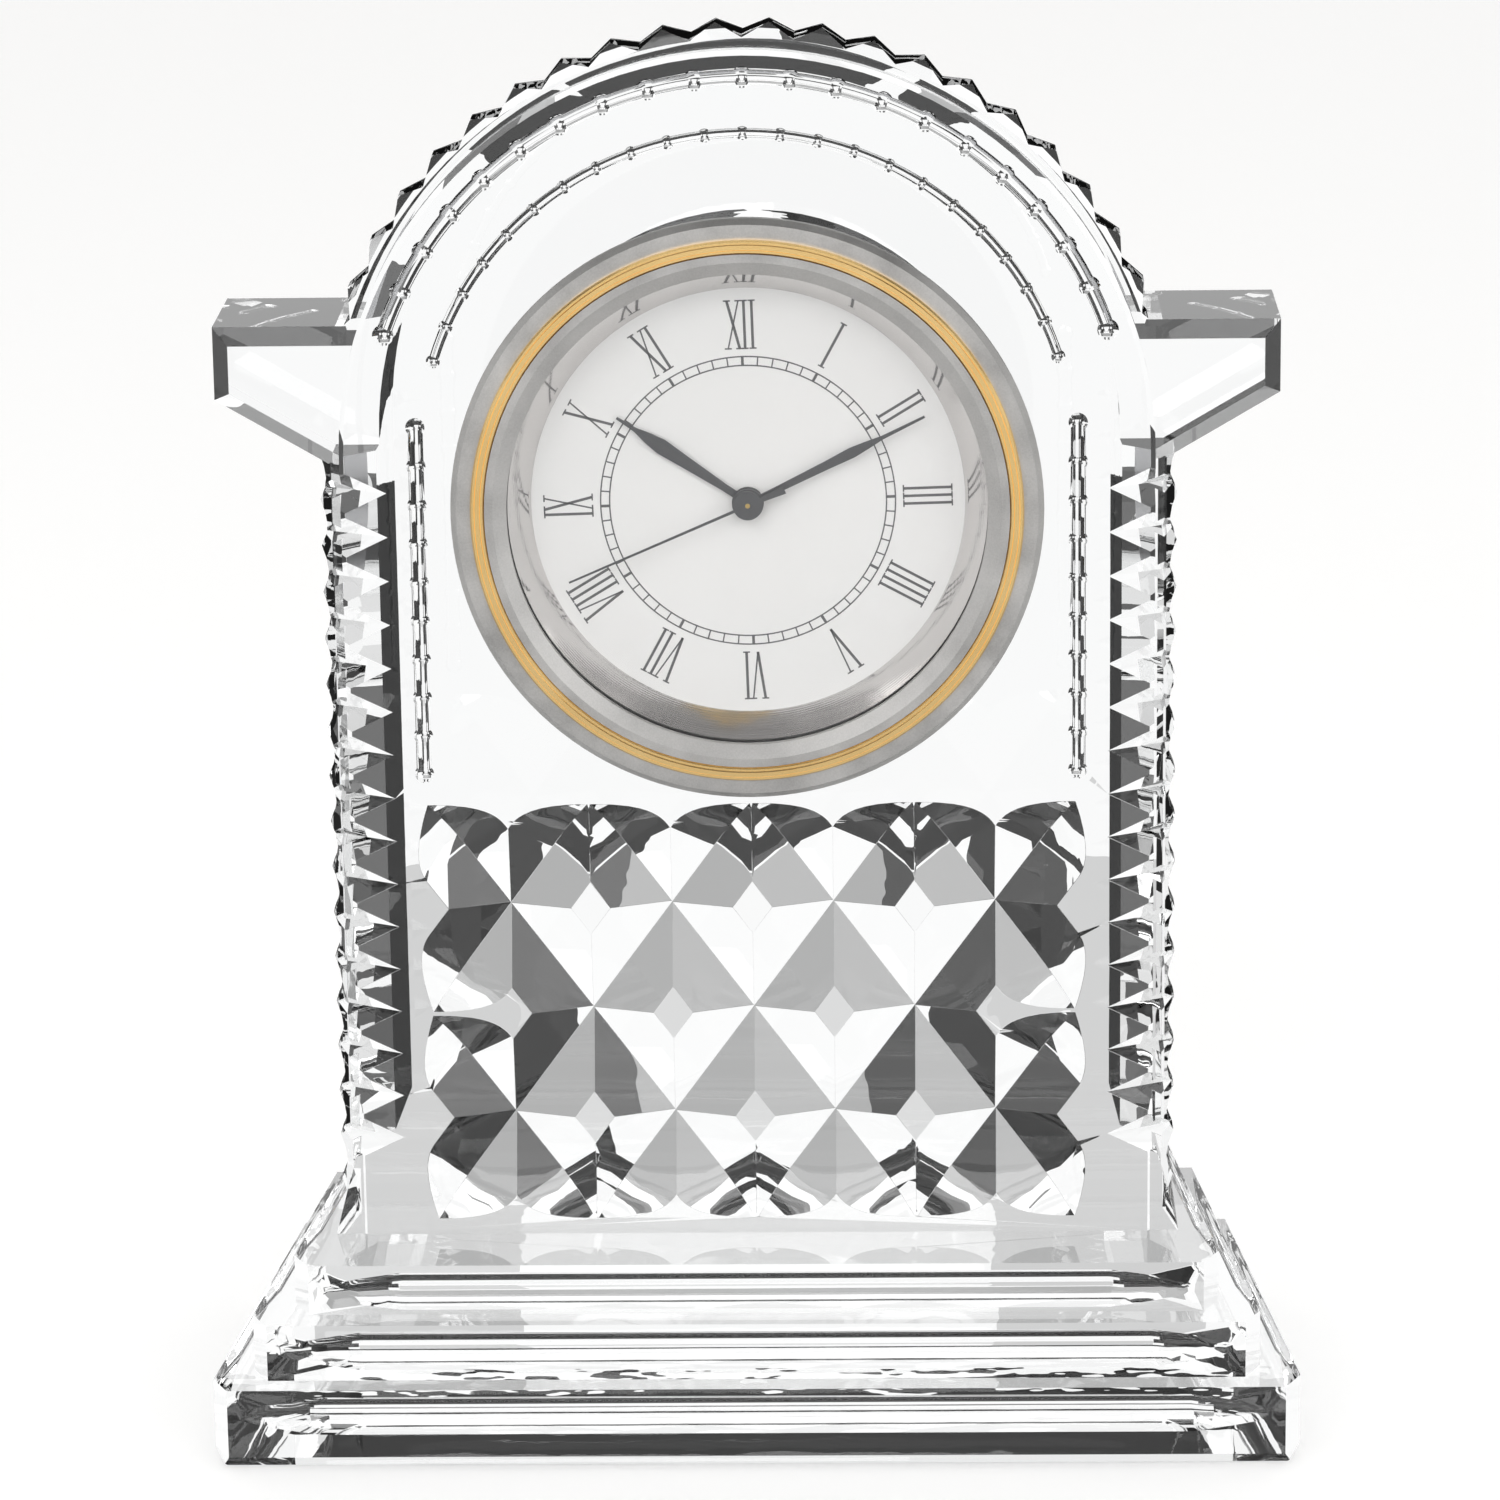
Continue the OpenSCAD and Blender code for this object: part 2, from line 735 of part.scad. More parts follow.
module inner_ring() {
    outer = gold_r - gold_w / 2 - 0.02;
    color("silver") on_bore()
        rotate_extrude($fn = 180)
            polygon([
                [outer, flange_t], [outer, flange_t + 0.7], [outer - 1, flange_t + 0.7],
                [sight_r, lip_z + 0.9], [sight_r, lip_z],
                [pack_r, lip_z], [pack_r, flange_t]
            ]);
}

module lens() {
    color([0.9, 0.95, 1, 0.3]) on_bore() disc(pack_r, lens_back, lip_z);
}

module lens_gasket() {
    color("dimgray") on_bore() ring(pack_r, sight_r, surround_front, lens_back);
}

module dial_surround() {
    color("lightgray") on_bore()
        rotate_extrude($fn = 180)
            polygon([
                [sight_r, surround_front], [pack_r, surround_front],
                [pack_r, dial_front], [dial_sight_r, dial_front]
            ]);
}

foot_r = 0.5;
module dial() {
    color("white") on_bore()
        difference() {
            union() {
                disc(pack_r, dial_back, dial_front);
                for (p = dial_feet_at)
                    translate(p) disc(foot_r, plate_back, dial_back + dial_t / 2);
            }
            disc(hour_out + 0.3, dial_back - over, dial_front + over);
        }
}

// Case

cap_lug_t = 0.5;
module case_cup() {
    cap_hole_r = cap_r - 0.7;
    color("darkgray") on_bore()
        difference() {
            disc(cup_r, cup_back, 0);
            disc(cup_in_r, cup_floor, over);
            translate(setting_at) disc(stem_r + 0.2, cup_back - over, cup_floor + over);
            translate(battery_at) disc(cap_hole_r, cup_back - over, cup_floor + over);
        }
}

module grip_ring() {
    rib = grip_w / 5;
    outer = bore_r - fit_gap;
    z0 = -12.5;
    color("black") on_bore()
        difference() {
            disc(outer, z0, z0 + grip_w);
            disc(cup_r + 0.02, z0 - over, z0 + grip_w + over);
            for (k = [1, 3])
                ring(outer + over, outer - 0.35, z0 + k * rib, z0 + (k + 1) * rib);
        }
}

module movement_holder() {
    color("ivory") on_bore()
        difference() {
            disc(pack_r, plate_back, dial_back);
            disc(plate_r + seat_gap, plate_back - over, dial_back + over);
            for (a = [0 : 30 : 330])
                rotate([0, 0, a]) translate([(pack_r + plate_r) / 2, 0, 0])
                    disc((pack_r - plate_r) / 4, plate_back - over, plate_back + motion_h);
        }
}

// Movement

well_r = cell_r + 0.15;
module main_plate() {
    color("lightyellow") on_bore()
        difference() {
            union() {
                disc(plate_r, plate_back, plate_front);
                ring(plate_r, plate_r - 1.2, plate_front - 0.2, dial_back);
                for (p = pillars_at) translate(p) disc(1.4, bridge_front, plate_back + 0.2);
                for (p = coil_screws_at) translate(p) disc(1.1, stator_z + stator_t, plate_back + 0.2);
                translate(battery_at) ring(well_r + 0.7, well_r, bridge_front + 0.6, plate_back + 0.2);
                translate(minute_wheel_at) disc(pivot_r, plate_front - 0.2, dial_back - 0.2);
            }
            disc(cannon_out + fit_gap, plate_back - over, plate_front + over);
            translate(setting_at) disc(stem_r + fit_gap, plate_back - over, plate_front + over);
            translate(third_at) disc(pivot_r + fit_gap, plate_back - over, plate_back + 0.6);
            translate(intermediate_at) disc(pivot_r + fit_gap, plate_back - over, plate_back + 0.6);
            translate(rotor_at) disc(pivot_r + fit_gap, plate_back - over, plate_back + 0.6);
            for (p = dial_feet_at)
                translate(p) disc(foot_r + fit_gap, plate_back - over, plate_front + over);
            for (p = pillars_at)
                translate(p) disc(screw_r + fit_gap, bridge_front - over, bridge_front + 2.5);
            for (p = coil_screws_at)
                translate(p) disc(screw_r + fit_gap, stator_z + stator_t - over, plate_back - 0.4);
            // Window in the battery well for the side contact
            translate(battery_at) rotate([0, 0, contact_dir])
                translate([well_r - 0.8, -contact_w / 2 - 0.4, bridge_front + 0.3])
                    cube([2, contact_w + 0.8, board_back - bridge_front]);
        }
}

screw_r = 0.5;
screw_head_r = 1.1;
module screw(seat, length) {
    difference() {
        union() {
            disc(screw_head_r, seat - 0.6, seat);
            disc(screw_r, seat - 0.3, seat + length);
        }
        translate([0, 0, seat - 0.6]) cube([screw_head_r * 3, 0.3, 0.5], center = true);
    }
}

module movement_screws() {
    color("gainsboro") on_bore() {
        for (p = pillars_at) translate(p) screw(bridge_back, bridge_t + 2);
        for (p = coil_screws_at) translate(p) screw(stator_z - core_t, core_t + stator_t + 1);
    }
}

module rear_bridge() {
    color("lightyellow") on_bore()
        difference() {
            disc(plate_r - 0.6, bridge_back, bridge_front);
            translate(battery_at) disc(well_r + 0.3, bridge_back - over, bridge_front + over);
            disc(arbor_r + fit_gap, bridge_back - over, bridge_front + over);
            translate(setting_at) disc(stem_r + fit_gap, bridge_back - over, bridge_front + over);
            for (p = [third_at, intermediate_at, rotor_at])
                translate(p) disc(pivot_r + fit_gap, bridge_back - over, bridge_front + over);
            for (p = pillars_at)
                translate(p) disc(screw_r + fit_gap, bridge_back - over, bridge_front + over);
        }
}

// Stator, coil and circuit

hole_r = magnet_r + 0.3;
arm_y = 9.2;
arm_half = 1.4;
module stator() {
    left = rotor_at[0] - hole_r - 0.55;
    right = rotor_at[0] + hole_r + 0.9;
    color("slategray") on_bore()
        translate([0, 0, stator_z])
            difference() {
                union() {
                    translate([left, rotor_at[1] - hole_r - 1, 0])
                        cube([right - left, 2 * hole_r + 2, stator_t]);
                    translate([rotor_at[0] - 1.2, -arm_y - arm_half, 0])
                        cube([2.8, 2 * (arm_y + arm_half), stator_t]);
                    for (side = [-1, 1])
                        translate([rotor_at[0] - 1.2, side * arm_y - arm_half, 0])
                            cube([coil_x + arm_half - rotor_at[0] + 1.2, 2 * arm_half, stator_t]);
                }
                translate([rotor_at[0], rotor_at[1], -over]) cylinder(r = hole_r, h = stator_t + 2 * over);
                for (p = coil_screws_at)
                    translate([p[0], p[1], -over])
                        cylinder(r = screw_r + fit_gap, h = stator_t + 2 * over);
            }
}

core_w = 2;
module coil_core() {
    color("gray") on_bore()
        translate([0, 0, stator_z - core_t])
            difference() {
                union() {
                    translate([coil_x - core_w / 2, -arm_y - arm_half, 0])
                        cube([core_w, 2 * (arm_y + arm_half), core_t]);
                    for (side = [-1, 1])
                        translate([coil_x - arm_half, side * arm_y - arm_half, 0])
                            cube([2 * arm_half, 2 * arm_half, core_t]);
                }
                for (p = coil_screws_at)
                    translate([p[0], p[1], -over])
                        cylinder(r = screw_r + fit_gap, h = core_t + 2 * over);
            }
}

module coil() {
    axis_z = stator_z - core_t / 2;
    flange_w = 0.5;
    color("chocolate") on_bore()
        translate([coil_x, 0, axis_z])
            difference() {
                rotate([90, 0, 0]) {
                    translate([0, 0, -coil_len / 2]) cylinder(r = coil_r - 0.3, h = coil_len);
                    for (z = [-coil_len / 2, coil_len / 2 - flange_w])
                        translate([0, 0, z]) cylinder(r = coil_r, h = flange_w);
                }
                cube([core_w + 2 * seat_gap, coil_len + 2, core_t + 2 * seat_gap], center = true);
            }
}

board_back = plate_back - board_t;
board_x = plate_r / 24;
board_right = 7.5;
board_low = 11.2 * plate_r / 24;
module circuit_board() {
    color("darkgreen") on_bore()
        intersection() {
            disc(plate_r - 1.5, board_back, plate_back);
            translate([board_x, -plate_r, board_back - over])
                cube([plate_r - board_right - board_x, plate_r - board_low, board_t + 2 * over]);
        }
}

chip_w = 4;
chip_t = 1;
chip_at = [3.5, -17];
module timing_chip() {
    color("black") on_bore()
        translate([chip_at[0], chip_at[1], board_back - chip_t]) cube([chip_w, chip_w, chip_t]);
}

can_r = 1;
can_len = 5.5;
can_at = [10, -17];
module quartz_can() {
    color("silver") on_bore()
        translate([can_at[0], can_at[1], board_back - can_r]) rotate([0, 90, 20])
            cylinder(r = can_r, h = can_len);
}

module battery() {
    front = bridge_front + 0.4 + cell_t;
    rim = 0.6;
    color("silver") on_bore()
        translate(battery_at)
            rotate_extrude()
                polygon([
                    [0, front - cell_t], [cell_r - 0.3, front - cell_t], [cell_r, front - cell_t + 0.3],
                    [cell_r, front - rim], [cell_r - rim, front - rim / 2],
                    [cell_r - rim, front], [0, front]
                ]);
}

contact_t = 0.2;
contact_w = 3.6;
contact_dir = -20;
contact_tab_w = 2;
contact_tab_end = 12.5;
module plus_contact() {
    foot_z = bridge_front + 1;
    color("gold") on_bore() translate(battery_at) rotate([0, 0, contact_dir]) {
        translate([cell_r + 0.2, -contact_w / 2, foot_z])
            cube([contact_t, contact_w, board_back - foot_z]);
        translate([cell_r + 0.2, -contact_tab_w / 2, board_back - contact_t])
            cube([contact_tab_end - cell_r - 0.2, contact_tab_w, contact_t]);
    }
}

module minus_contact() {
    color("gold") on_bore()
        translate([battery_at[0] - 1.5, battery_at[1] - 1.2, plate_back - contact_t])
            cube([cell_r + 0.2, 2.4, contact_t]);
}

slot_w = 1.3;
module battery_cap() {
    plug_r = cap_r - 0.8;
    color("dimgray") on_bore() translate(battery_at)
        difference() {
            union() {
                disc(cap_r, cup_back - 0.8, cup_back);
                disc(plug_r, cup_back - 0.4, cup_floor + 0.1 + cap_lug_t);
                for (a = [0, 180])
                    rotate([0, 0, a]) translate([plug_r - 1, -1.5, cup_floor + 0.1])
                        cube([1.6, 3, cap_lug_t]);
            }
            translate([0, 0, cup_back - 0.8]) cube([2 * cap_r - 5, slot_w, 1], center = true);
        }
}

// Hands

// A slim leaf along +Y: widest at the belly, and a thin line from the neck to the tip
module leaf(length, width, waist, line_w, belly, neck) {
    shoulder = (belly + neck) / 2;
    tip_w = line_w * 0.6;
    polygon([
        [-waist / 2, 0], [-waist / 2, 0.18 * length],
        [-0.4 * width, 0.75 * belly * length], [-width / 2, belly * length],
        [-0.36 * width, shoulder * length], [-line_w / 2, neck * length], [-tip_w / 2, length],
        [tip_w / 2, length], [line_w / 2, neck * length], [0.36 * width, shoulder * length],
        [width / 2, belly * length], [0.4 * width, 0.75 * belly * length],
        [waist / 2, 0.18 * length], [waist / 2, 0]
    ]);
}

module hour_hand() {
    color("dimgray") on_bore() rotate([0, 0, -hour_at])
        difference() {
            union() {
                translate([0, 0, hour_z])
                    linear_extrude(hand_t) leaf(hour_len, hour_w, 0.9, 0.5, 0.66, 0.86);
                disc(hub_r, hour_z, hour_z + boss_rise);
            }
            disc(hour_out + 0.02, hour_z - over, hour_z + boss_rise + over);
        }
}

module minute_hand() {
    color("dimgray") on_bore() rotate([0, 0, -minute_at])
        difference() {
            union() {
                translate([0, 0, minute_z])
                    linear_extrude(hand_t) leaf(minute_len, minute_w, 0.8, 0.45, 0.59, 0.76);
                disc(hub_r * 0.98, minute_z, minute_z + boss_rise);
            }
            disc(cannon_out + 0.02, minute_z - over, minute_z + boss_rise + over);
        }
}

module second_hand() {
    tip_w = 0.22;
    root_w = 0.34;
    color("dimgray") on_bore() rotate([0, 0, -second_at])
        difference() {
            union() {
                translate([0, 0, second_z])
                    linear_extrude(hand_t * 0.8)
                        polygon([
                            [-root_w / 2, 0], [-tip_w / 2, second_len],
                            [tip_w / 2, second_len], [root_w / 2, 0],
                            [0.5, -second_tail], [-0.5, -second_tail]
                        ]);
                disc(hub_r * 0.92, second_z, second_z + 0.3);
            }
            disc(arbor_r + 0.02, second_z - over, second_z + 1);
        }
}

// Wheels

// Outline of a wheel with straight-sided teeth, one tooth pointing along angle at
function wheel_points(teeth, size, at) =
    let (step = 360 / teeth, pitch_r = size * teeth / 2,
         root = pitch_r - 1.1 * size, tip = pitch_r + 0.75 * size)
    [
        for (k = [0 : teeth - 1], c = [[root, -0.28], [tip, -0.11], [tip, 0.11], [root, 0.28]])
            [c[0] * cos(at + (k + c[1]) * step), c[0] * sin(at + (k + c[1]) * step)]
    ];

// Angle of a tooth of the second wheel that meshes with the first, along direction dir
function meshed(dir, teeth_a, teeth_b, at_a) =
    dir + 180 - (at_a - dir) * teeth_a / teeth_b - 180 / teeth_b;

module wheel(teeth, size, z, thick, at) {
    translate([0, 0, z]) linear_extrude(thick) polygon(wheel_points(teeth, size, at));
}

half_turn = 180;
minute_wheel_phase = meshed(minute_wheel_dir, cannon_teeth, minute_wheel_teeth, 0);
hour_wheel_phase = meshed(minute_wheel_dir + half_turn, minute_pinion_teeth, hour_wheel_teeth, 0);
setting_phase = meshed(setting_dir, minute_wheel_teeth, setting_teeth, minute_wheel_phase);
third_wheel_phase = meshed(third_dir, second_pinion_teeth, third_wheel_teeth, 0);
centre_wheel_phase = meshed(third_dir + half_turn, third_pinion_teeth, centre_wheel_teeth, 0);
intermediate_pinion_phase = meshed(intermediate_dir, second_wheel_teeth, intermediate_pinion_teeth, 0);
rotor_phase = meshed(rotor_dir, intermediate_wheel_teeth, rotor_teeth, 0);

module cannon_pinion() {
    color("khaki") on_bore()
        difference() {
            union() {
                wheel(cannon_teeth, motion_module, cannon_pinion_z, 0.8, 0);
                disc(cannon_out, centre_level - 0.2, minute_z + boss_rise);
            }
            disc(cannon_in, centre_level - 1, second_z);
        }
}

module hour_wheel() {
    color("khaki") on_bore()
        difference() {
            union() {
                wheel(hour_wheel_teeth, hour_module, hour_level, wheel_t, hour_wheel_phase);
                disc(hour_out, hour_level, hour_z + boss_rise);
            }
            disc(hour_in, hour_level - over, hour_z + boss_rise + over);
        }
}

module minute_wheel() {
    color("khaki") on_bore() translate(minute_wheel_at)
        difference() {
            union() {
                wheel(minute_wheel_teeth, motion_module, cannon_pinion_z + 0.15, wheel_t, minute_wheel_phase);
                wheel(minute_pinion_teeth, hour_module, cannon_pinion_z + 0.3, 1.4, 0);
            }
            disc(pivot_r + fit_gap, plate_front - over, dial_back + over);
        }
}

knob_gap = 0.5;
knob_web = 0.6;
knob_top = cup_back - knob_gap;
module setting_stem() {
    color("silver") on_bore() translate(setting_at) {
        disc(stem_r, knob_top - knob_h + knob_web, cannon_pinion_z + 0.9);
        wheel(setting_teeth, motion_module, cannon_pinion_z, 0.8, setting_phase);
    }
}

module setting_knob() {
    grips = 20;
    color("black") on_bore() translate(setting_at)
        difference() {
            disc(knob_r, knob_top - knob_h, knob_top);
            disc(stem_r + 0.02, knob_top - knob_h + knob_web, knob_top + over);
            for (k = [0 : grips - 1])
                rotate([0, 0, k * 360 / grips])
                    translate([knob_r + 0.12, 0, 0]) disc(0.3, knob_top - knob_h - over, knob_top - 0.5);
        }
}

module second_wheel() {
    color("khaki") on_bore() {
        disc(arbor_r, bridge_back + 0.1, second_z + 0.35);
        wheel(second_pinion_teeth, third_module, third_level - 0.2, pinion_t, 0);
        wheel(second_wheel_teeth, second_module, second_level, wheel_t, 0);
    }
}

module centre_wheel() {
    color("khaki") on_bore()
        difference() {
            wheel(centre_wheel_teeth, centre_module, centre_level, wheel_t, centre_wheel_phase);
            disc(cannon_out + fit_gap, centre_level - over, centre_level + wheel_t + over);
        }
}

module third_wheel() {
    color("khaki") on_bore() translate(third_at) {
        disc(pivot_r, bridge_back + 0.1, plate_back + 0.5);
        wheel(third_pinion_teeth, centre_module, centre_level - 0.2, pinion_t, 0);
        wheel(third_wheel_teeth, third_module, third_level, wheel_t, third_wheel_phase);
    }
}

module intermediate_wheel() {
    color("white") on_bore() translate(intermediate_at) {
        disc(pivot_r, bridge_back + 0.1, plate_back + 0.5);
        wheel(intermediate_pinion_teeth, second_module, second_level - 0.2, pinion_t,
            intermediate_pinion_phase);
        wheel(intermediate_wheel_teeth, rotor_module, intermediate_level, wheel_t, 0);
    }
}

module rotor() {
    color("darkred") on_bore() translate(rotor_at) {
        disc(pivot_r, bridge_back + 0.1, plate_back + 0.5);
        disc(magnet_r, magnet_z, magnet_z + magnet_h);
        wheel(rotor_teeth, rotor_module, intermediate_level - 0.2, pinion_t, rotor_phase);
    }
}

crystal_body();
bezel_flange();
gold_ring();
inner_ring();
lens();
lens_gasket();
dial_surround();
dial();
case_cup();
grip_ring();
movement_holder();
main_plate();
rear_bridge();
movement_screws();
stator();
coil_core();
coil();
circuit_board();
timing_chip();
quartz_can();
plus_contact();
minus_contact();
battery();
battery_cap();
hour_hand();
hour_wheel();
minute_hand();
cannon_pinion();
second_hand();
second_wheel();
centre_wheel();
third_wheel();
intermediate_wheel();
rotor();
minute_wheel();
setting_stem();
setting_knob();
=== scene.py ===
"""Looks of the crystal carriage clock: cut crystal, plated bezel, printed dial and quartz movement.

Lengths in the classes are millimetres. Meshes are made in metres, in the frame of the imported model.
"""
from __future__ import annotations

import enum
import logging
import math
from dataclasses import dataclass, replace
from typing import Any, ClassVar

import bmesh
import bpy
from mathutils import Matrix, Vector


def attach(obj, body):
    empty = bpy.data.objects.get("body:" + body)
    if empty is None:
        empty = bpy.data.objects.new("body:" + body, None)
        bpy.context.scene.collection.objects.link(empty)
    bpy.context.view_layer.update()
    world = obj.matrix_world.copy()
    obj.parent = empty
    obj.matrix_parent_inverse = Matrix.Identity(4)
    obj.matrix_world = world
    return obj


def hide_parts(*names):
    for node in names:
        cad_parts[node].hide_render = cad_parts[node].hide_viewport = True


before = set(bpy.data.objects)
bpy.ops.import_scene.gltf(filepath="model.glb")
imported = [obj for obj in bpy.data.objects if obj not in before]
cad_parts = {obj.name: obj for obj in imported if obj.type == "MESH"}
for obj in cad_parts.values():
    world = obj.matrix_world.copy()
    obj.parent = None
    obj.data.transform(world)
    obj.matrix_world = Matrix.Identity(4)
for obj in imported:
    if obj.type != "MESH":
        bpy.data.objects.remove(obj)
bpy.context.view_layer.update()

log = logging.getLogger("carriage_clock")

MM = 0.001
MM_IN_M = 1000.0
FACE_Y = -11.5
INSERT_Z = 117.0

# Red, green, blue and opacity, each linear from 0 to 1
Colour = tuple[float, float, float, float]

# The clock's own frame: x to the right, y up, z towards the viewer, zero on the crystal's face
CLOCK_PLACE = (
    Matrix.Translation((0.0, FACE_Y * MM, INSERT_Z * MM))
    @ Matrix.Rotation(math.radians(90.0), 4, "X")
    @ Matrix.Diagonal((MM, MM, MM, 1.0))
)


class Body(enum.Enum):
    """The moving bodies that pieces made here ride on."""

    CRYSTAL = "crystal"
    INSERT = "insert"


class Grain(enum.Enum):
    """Which way the fine lines of a worked metal run."""

    ROUND = "round"
    STRAIGHT = "straight"
    NONE = "none"


# Shader building


class Value:
    """A number in a material, made of a socket, that Python's operators combine."""

    def __init__(self, maker: "Nodes", socket: bpy.types.NodeSocket) -> None:
        """Wraps one output socket.

        Args:
            maker: the node builder of the material that the socket is in.
            socket: the output socket.
        """
        self.maker = maker
        self.socket = socket

    def _math(self, operation: str, first: Any, second: Any) -> "Value":
        """Adds one Math node.

        Args:
            operation: name of the Math node's operation.
            first: number or Value on the left.
            second: number or Value on the right.

        Returns:
            The node's result.
        """
        return self.maker.make(
            "ShaderNodeMath", {"operation": operation}, {0: first, 1: second}
        )

    def __add__(self, other: Any) -> "Value":
        """Sum."""
        return self._math("ADD", self, other)

    def __radd__(self, other: Any) -> "Value":
        """Sum with the number first."""
        return self._math("ADD", other, self)

    def __sub__(self, other: Any) -> "Value":
        """Difference."""
        return self._math("SUBTRACT", self, other)

    def __rsub__(self, other: Any) -> "Value":
        """Difference with the number first."""
        return self._math("SUBTRACT", other, self)

    def __mul__(self, other: Any) -> "Value":
        """Product."""
        return self._math("MULTIPLY", self, other)

    def __rmul__(self, other: Any) -> "Value":
        """Product with the number first."""
        return self._math("MULTIPLY", other, self)


class Nodes:
    """Builder of one material's nodes."""

    def __init__(self, name: str) -> None:
        """Starts an empty material.

        Args:
            name: the material's name.
        """
        self.material = bpy.data.materials.new(name)
        self.material.use_nodes = True
        self.tree = self.material.node_tree
        self.tree.nodes.clear()

    def make(
        self, kind: str, settings: dict[str, Any], links: dict[Any, Any], out: Any = 0
    ) -> Value:
        """Adds one node.

        Args:
            kind: the node's type.
            settings: the node's own settings, which are set before its inputs.
            links: number, colour or Value for each input socket, by name or number.
            out: name or number of the output socket to give back.

        Returns:
            The output, as a Value.
        """
        node = self.tree.nodes.new(kind)
        for key, setting in settings.items():
            setattr(node, key, setting)
        for key, given in links.items():
            if isinstance(given, Value):
                self.tree.links.new(given.socket, node.inputs[key])
            else:
                node.inputs[key].default_value = given
        return Value(self, node.outputs[out])

    def place(self, scale: tuple[float, float, float] = (1.0, 1.0, 1.0)) -> Value:
        """Object coordinates about the middle of the dial, in millimetres times a scale.

        Args:
            scale: factor along x, y and z.

        Returns:
            The scaled place.
        """
        coords = self.make("ShaderNodeTexCoord", {}, {}, "Object")
        return self.make(
            "ShaderNodeMapping",
            {},
            {
                "Vector": coords,
                "Location": (0.0, 0.0, -INSERT_Z * scale[2]),
                "Scale": tuple(MM_IN_M * part for part in scale),
            },
        )

    def noise(self, scale: tuple[float, float, float], detail: float = 2.0) -> Value:
        """Noise over the object.

        Args:
            scale: cells per millimetre along x, y and z.
            detail: number of finer layers.

        Returns:
            Noise from 0 to 1.
        """
        return self.make(
            "ShaderNodeTexNoise",
            {},
            {"Vector": self.place(scale), "Scale": 1.0, "Detail": detail},
            "Fac",
        )

    def even_noise(self, cells: float, detail: float = 2.0) -> Value:
        """Noise of the same cell size along x, y and z."""
        return self.noise((cells, cells, cells), detail)

    def tint(self, fac: Value, dark: Colour, light: Colour) -> Value:
        """Colour between two colours.

        Args:
            fac: 0 for the first, 1 for the second.
            dark: first colour.
            light: second colour.

        Returns:
            The mixed colour.
        """
        return self.make(
            "ShaderNodeMix",
            {"data_type": "RGBA"},
            {"Factor": fac, 6: dark, 7: light},
            2,
        )

    def bump(self, height: Value, strength: float, depth_mm: float) -> Value:
        """Normal from a height.

        Args:
            height: height from 0 to 1.
            strength: strength of the Bump node.
            depth_mm: depth that height 1 stands for.

        Returns:
            The normal.
        """
        return self.make(
            "ShaderNodeBump",
            {},
            {"Strength": strength, "Distance": depth_mm * MM, "Height": height},
        )

    def finish(self, links: dict[str, Any]) -> bpy.types.Material:
        """Adds the Principled shader and the output.

        Args:
            links: inputs of the shader.

        Returns:
            The finished material.
        """
        return self.show(self.make("ShaderNodeBsdfPrincipled", {}, links))

    def show(self, surface: Value) -> bpy.types.Material:
        """Adds the material's output.

        Args:
            surface: the shader to show.

        Returns:
            The finished material.
        """
        output = self.tree.nodes.new("ShaderNodeOutputMaterial")
        self.tree.links.new(surface.socket, output.inputs["Surface"])
        return self.material


def rgba(red: float, green: float, blue: float) -> Colour:
    """Opaque colour from its linear parts."""
    return (red, green, blue, 1.0)


def grey(level: float) -> Colour:
    """Opaque grey of one linear level."""
    return rgba(level, level, level)


WHITE = grey(1.0)
BLACK = grey(0.0)


@dataclass(frozen=True)
class ClearGlass:
    """Clear polished glass, whose shadow is pale because real glass passes the light on."""

    name: str
    ior: float = 1.53
    roughness: float = 0.0
    cool: Colour = rgba(0.975, 0.985, 0.985)
    tint_cells: float = 0.05
    wave_cells: float = 0.12
    wave_depth: float = 0.4
    polish_waves: float = 0.03
    shadow_clear: float = 0.85

    def build(self) -> bpy.types.Material:
        """Makes the glass, which is a plain filter to the rays that look for a lamp.

        Returns:
            The material.
        """
        nodes = Nodes(self.name)
        waves = nodes.even_noise(self.wave_cells)
        faint = nodes.even_noise(self.tint_cells)
        glass = nodes.make(
            "ShaderNodeBsdfPrincipled",
            {},
            {
                "Base Color": nodes.tint(faint, self.cool, WHITE),
                "Roughness": self.roughness,
                "IOR": self.ior,
                "Transmission Weight": 1.0,
                "Normal": nodes.bump(waves, self.polish_waves, self.wave_depth),
            },
        )
        clear = nodes.make("ShaderNodeBsdfTransparent", {}, {"Color": grey(self.shadow_clear)})
        shadow = nodes.make("ShaderNodeLightPath", {}, {}, "Is Shadow Ray")
        return nodes.show(nodes.make("ShaderNodeMixShader", {}, {0: shadow, 1: glass, 2: clear}))


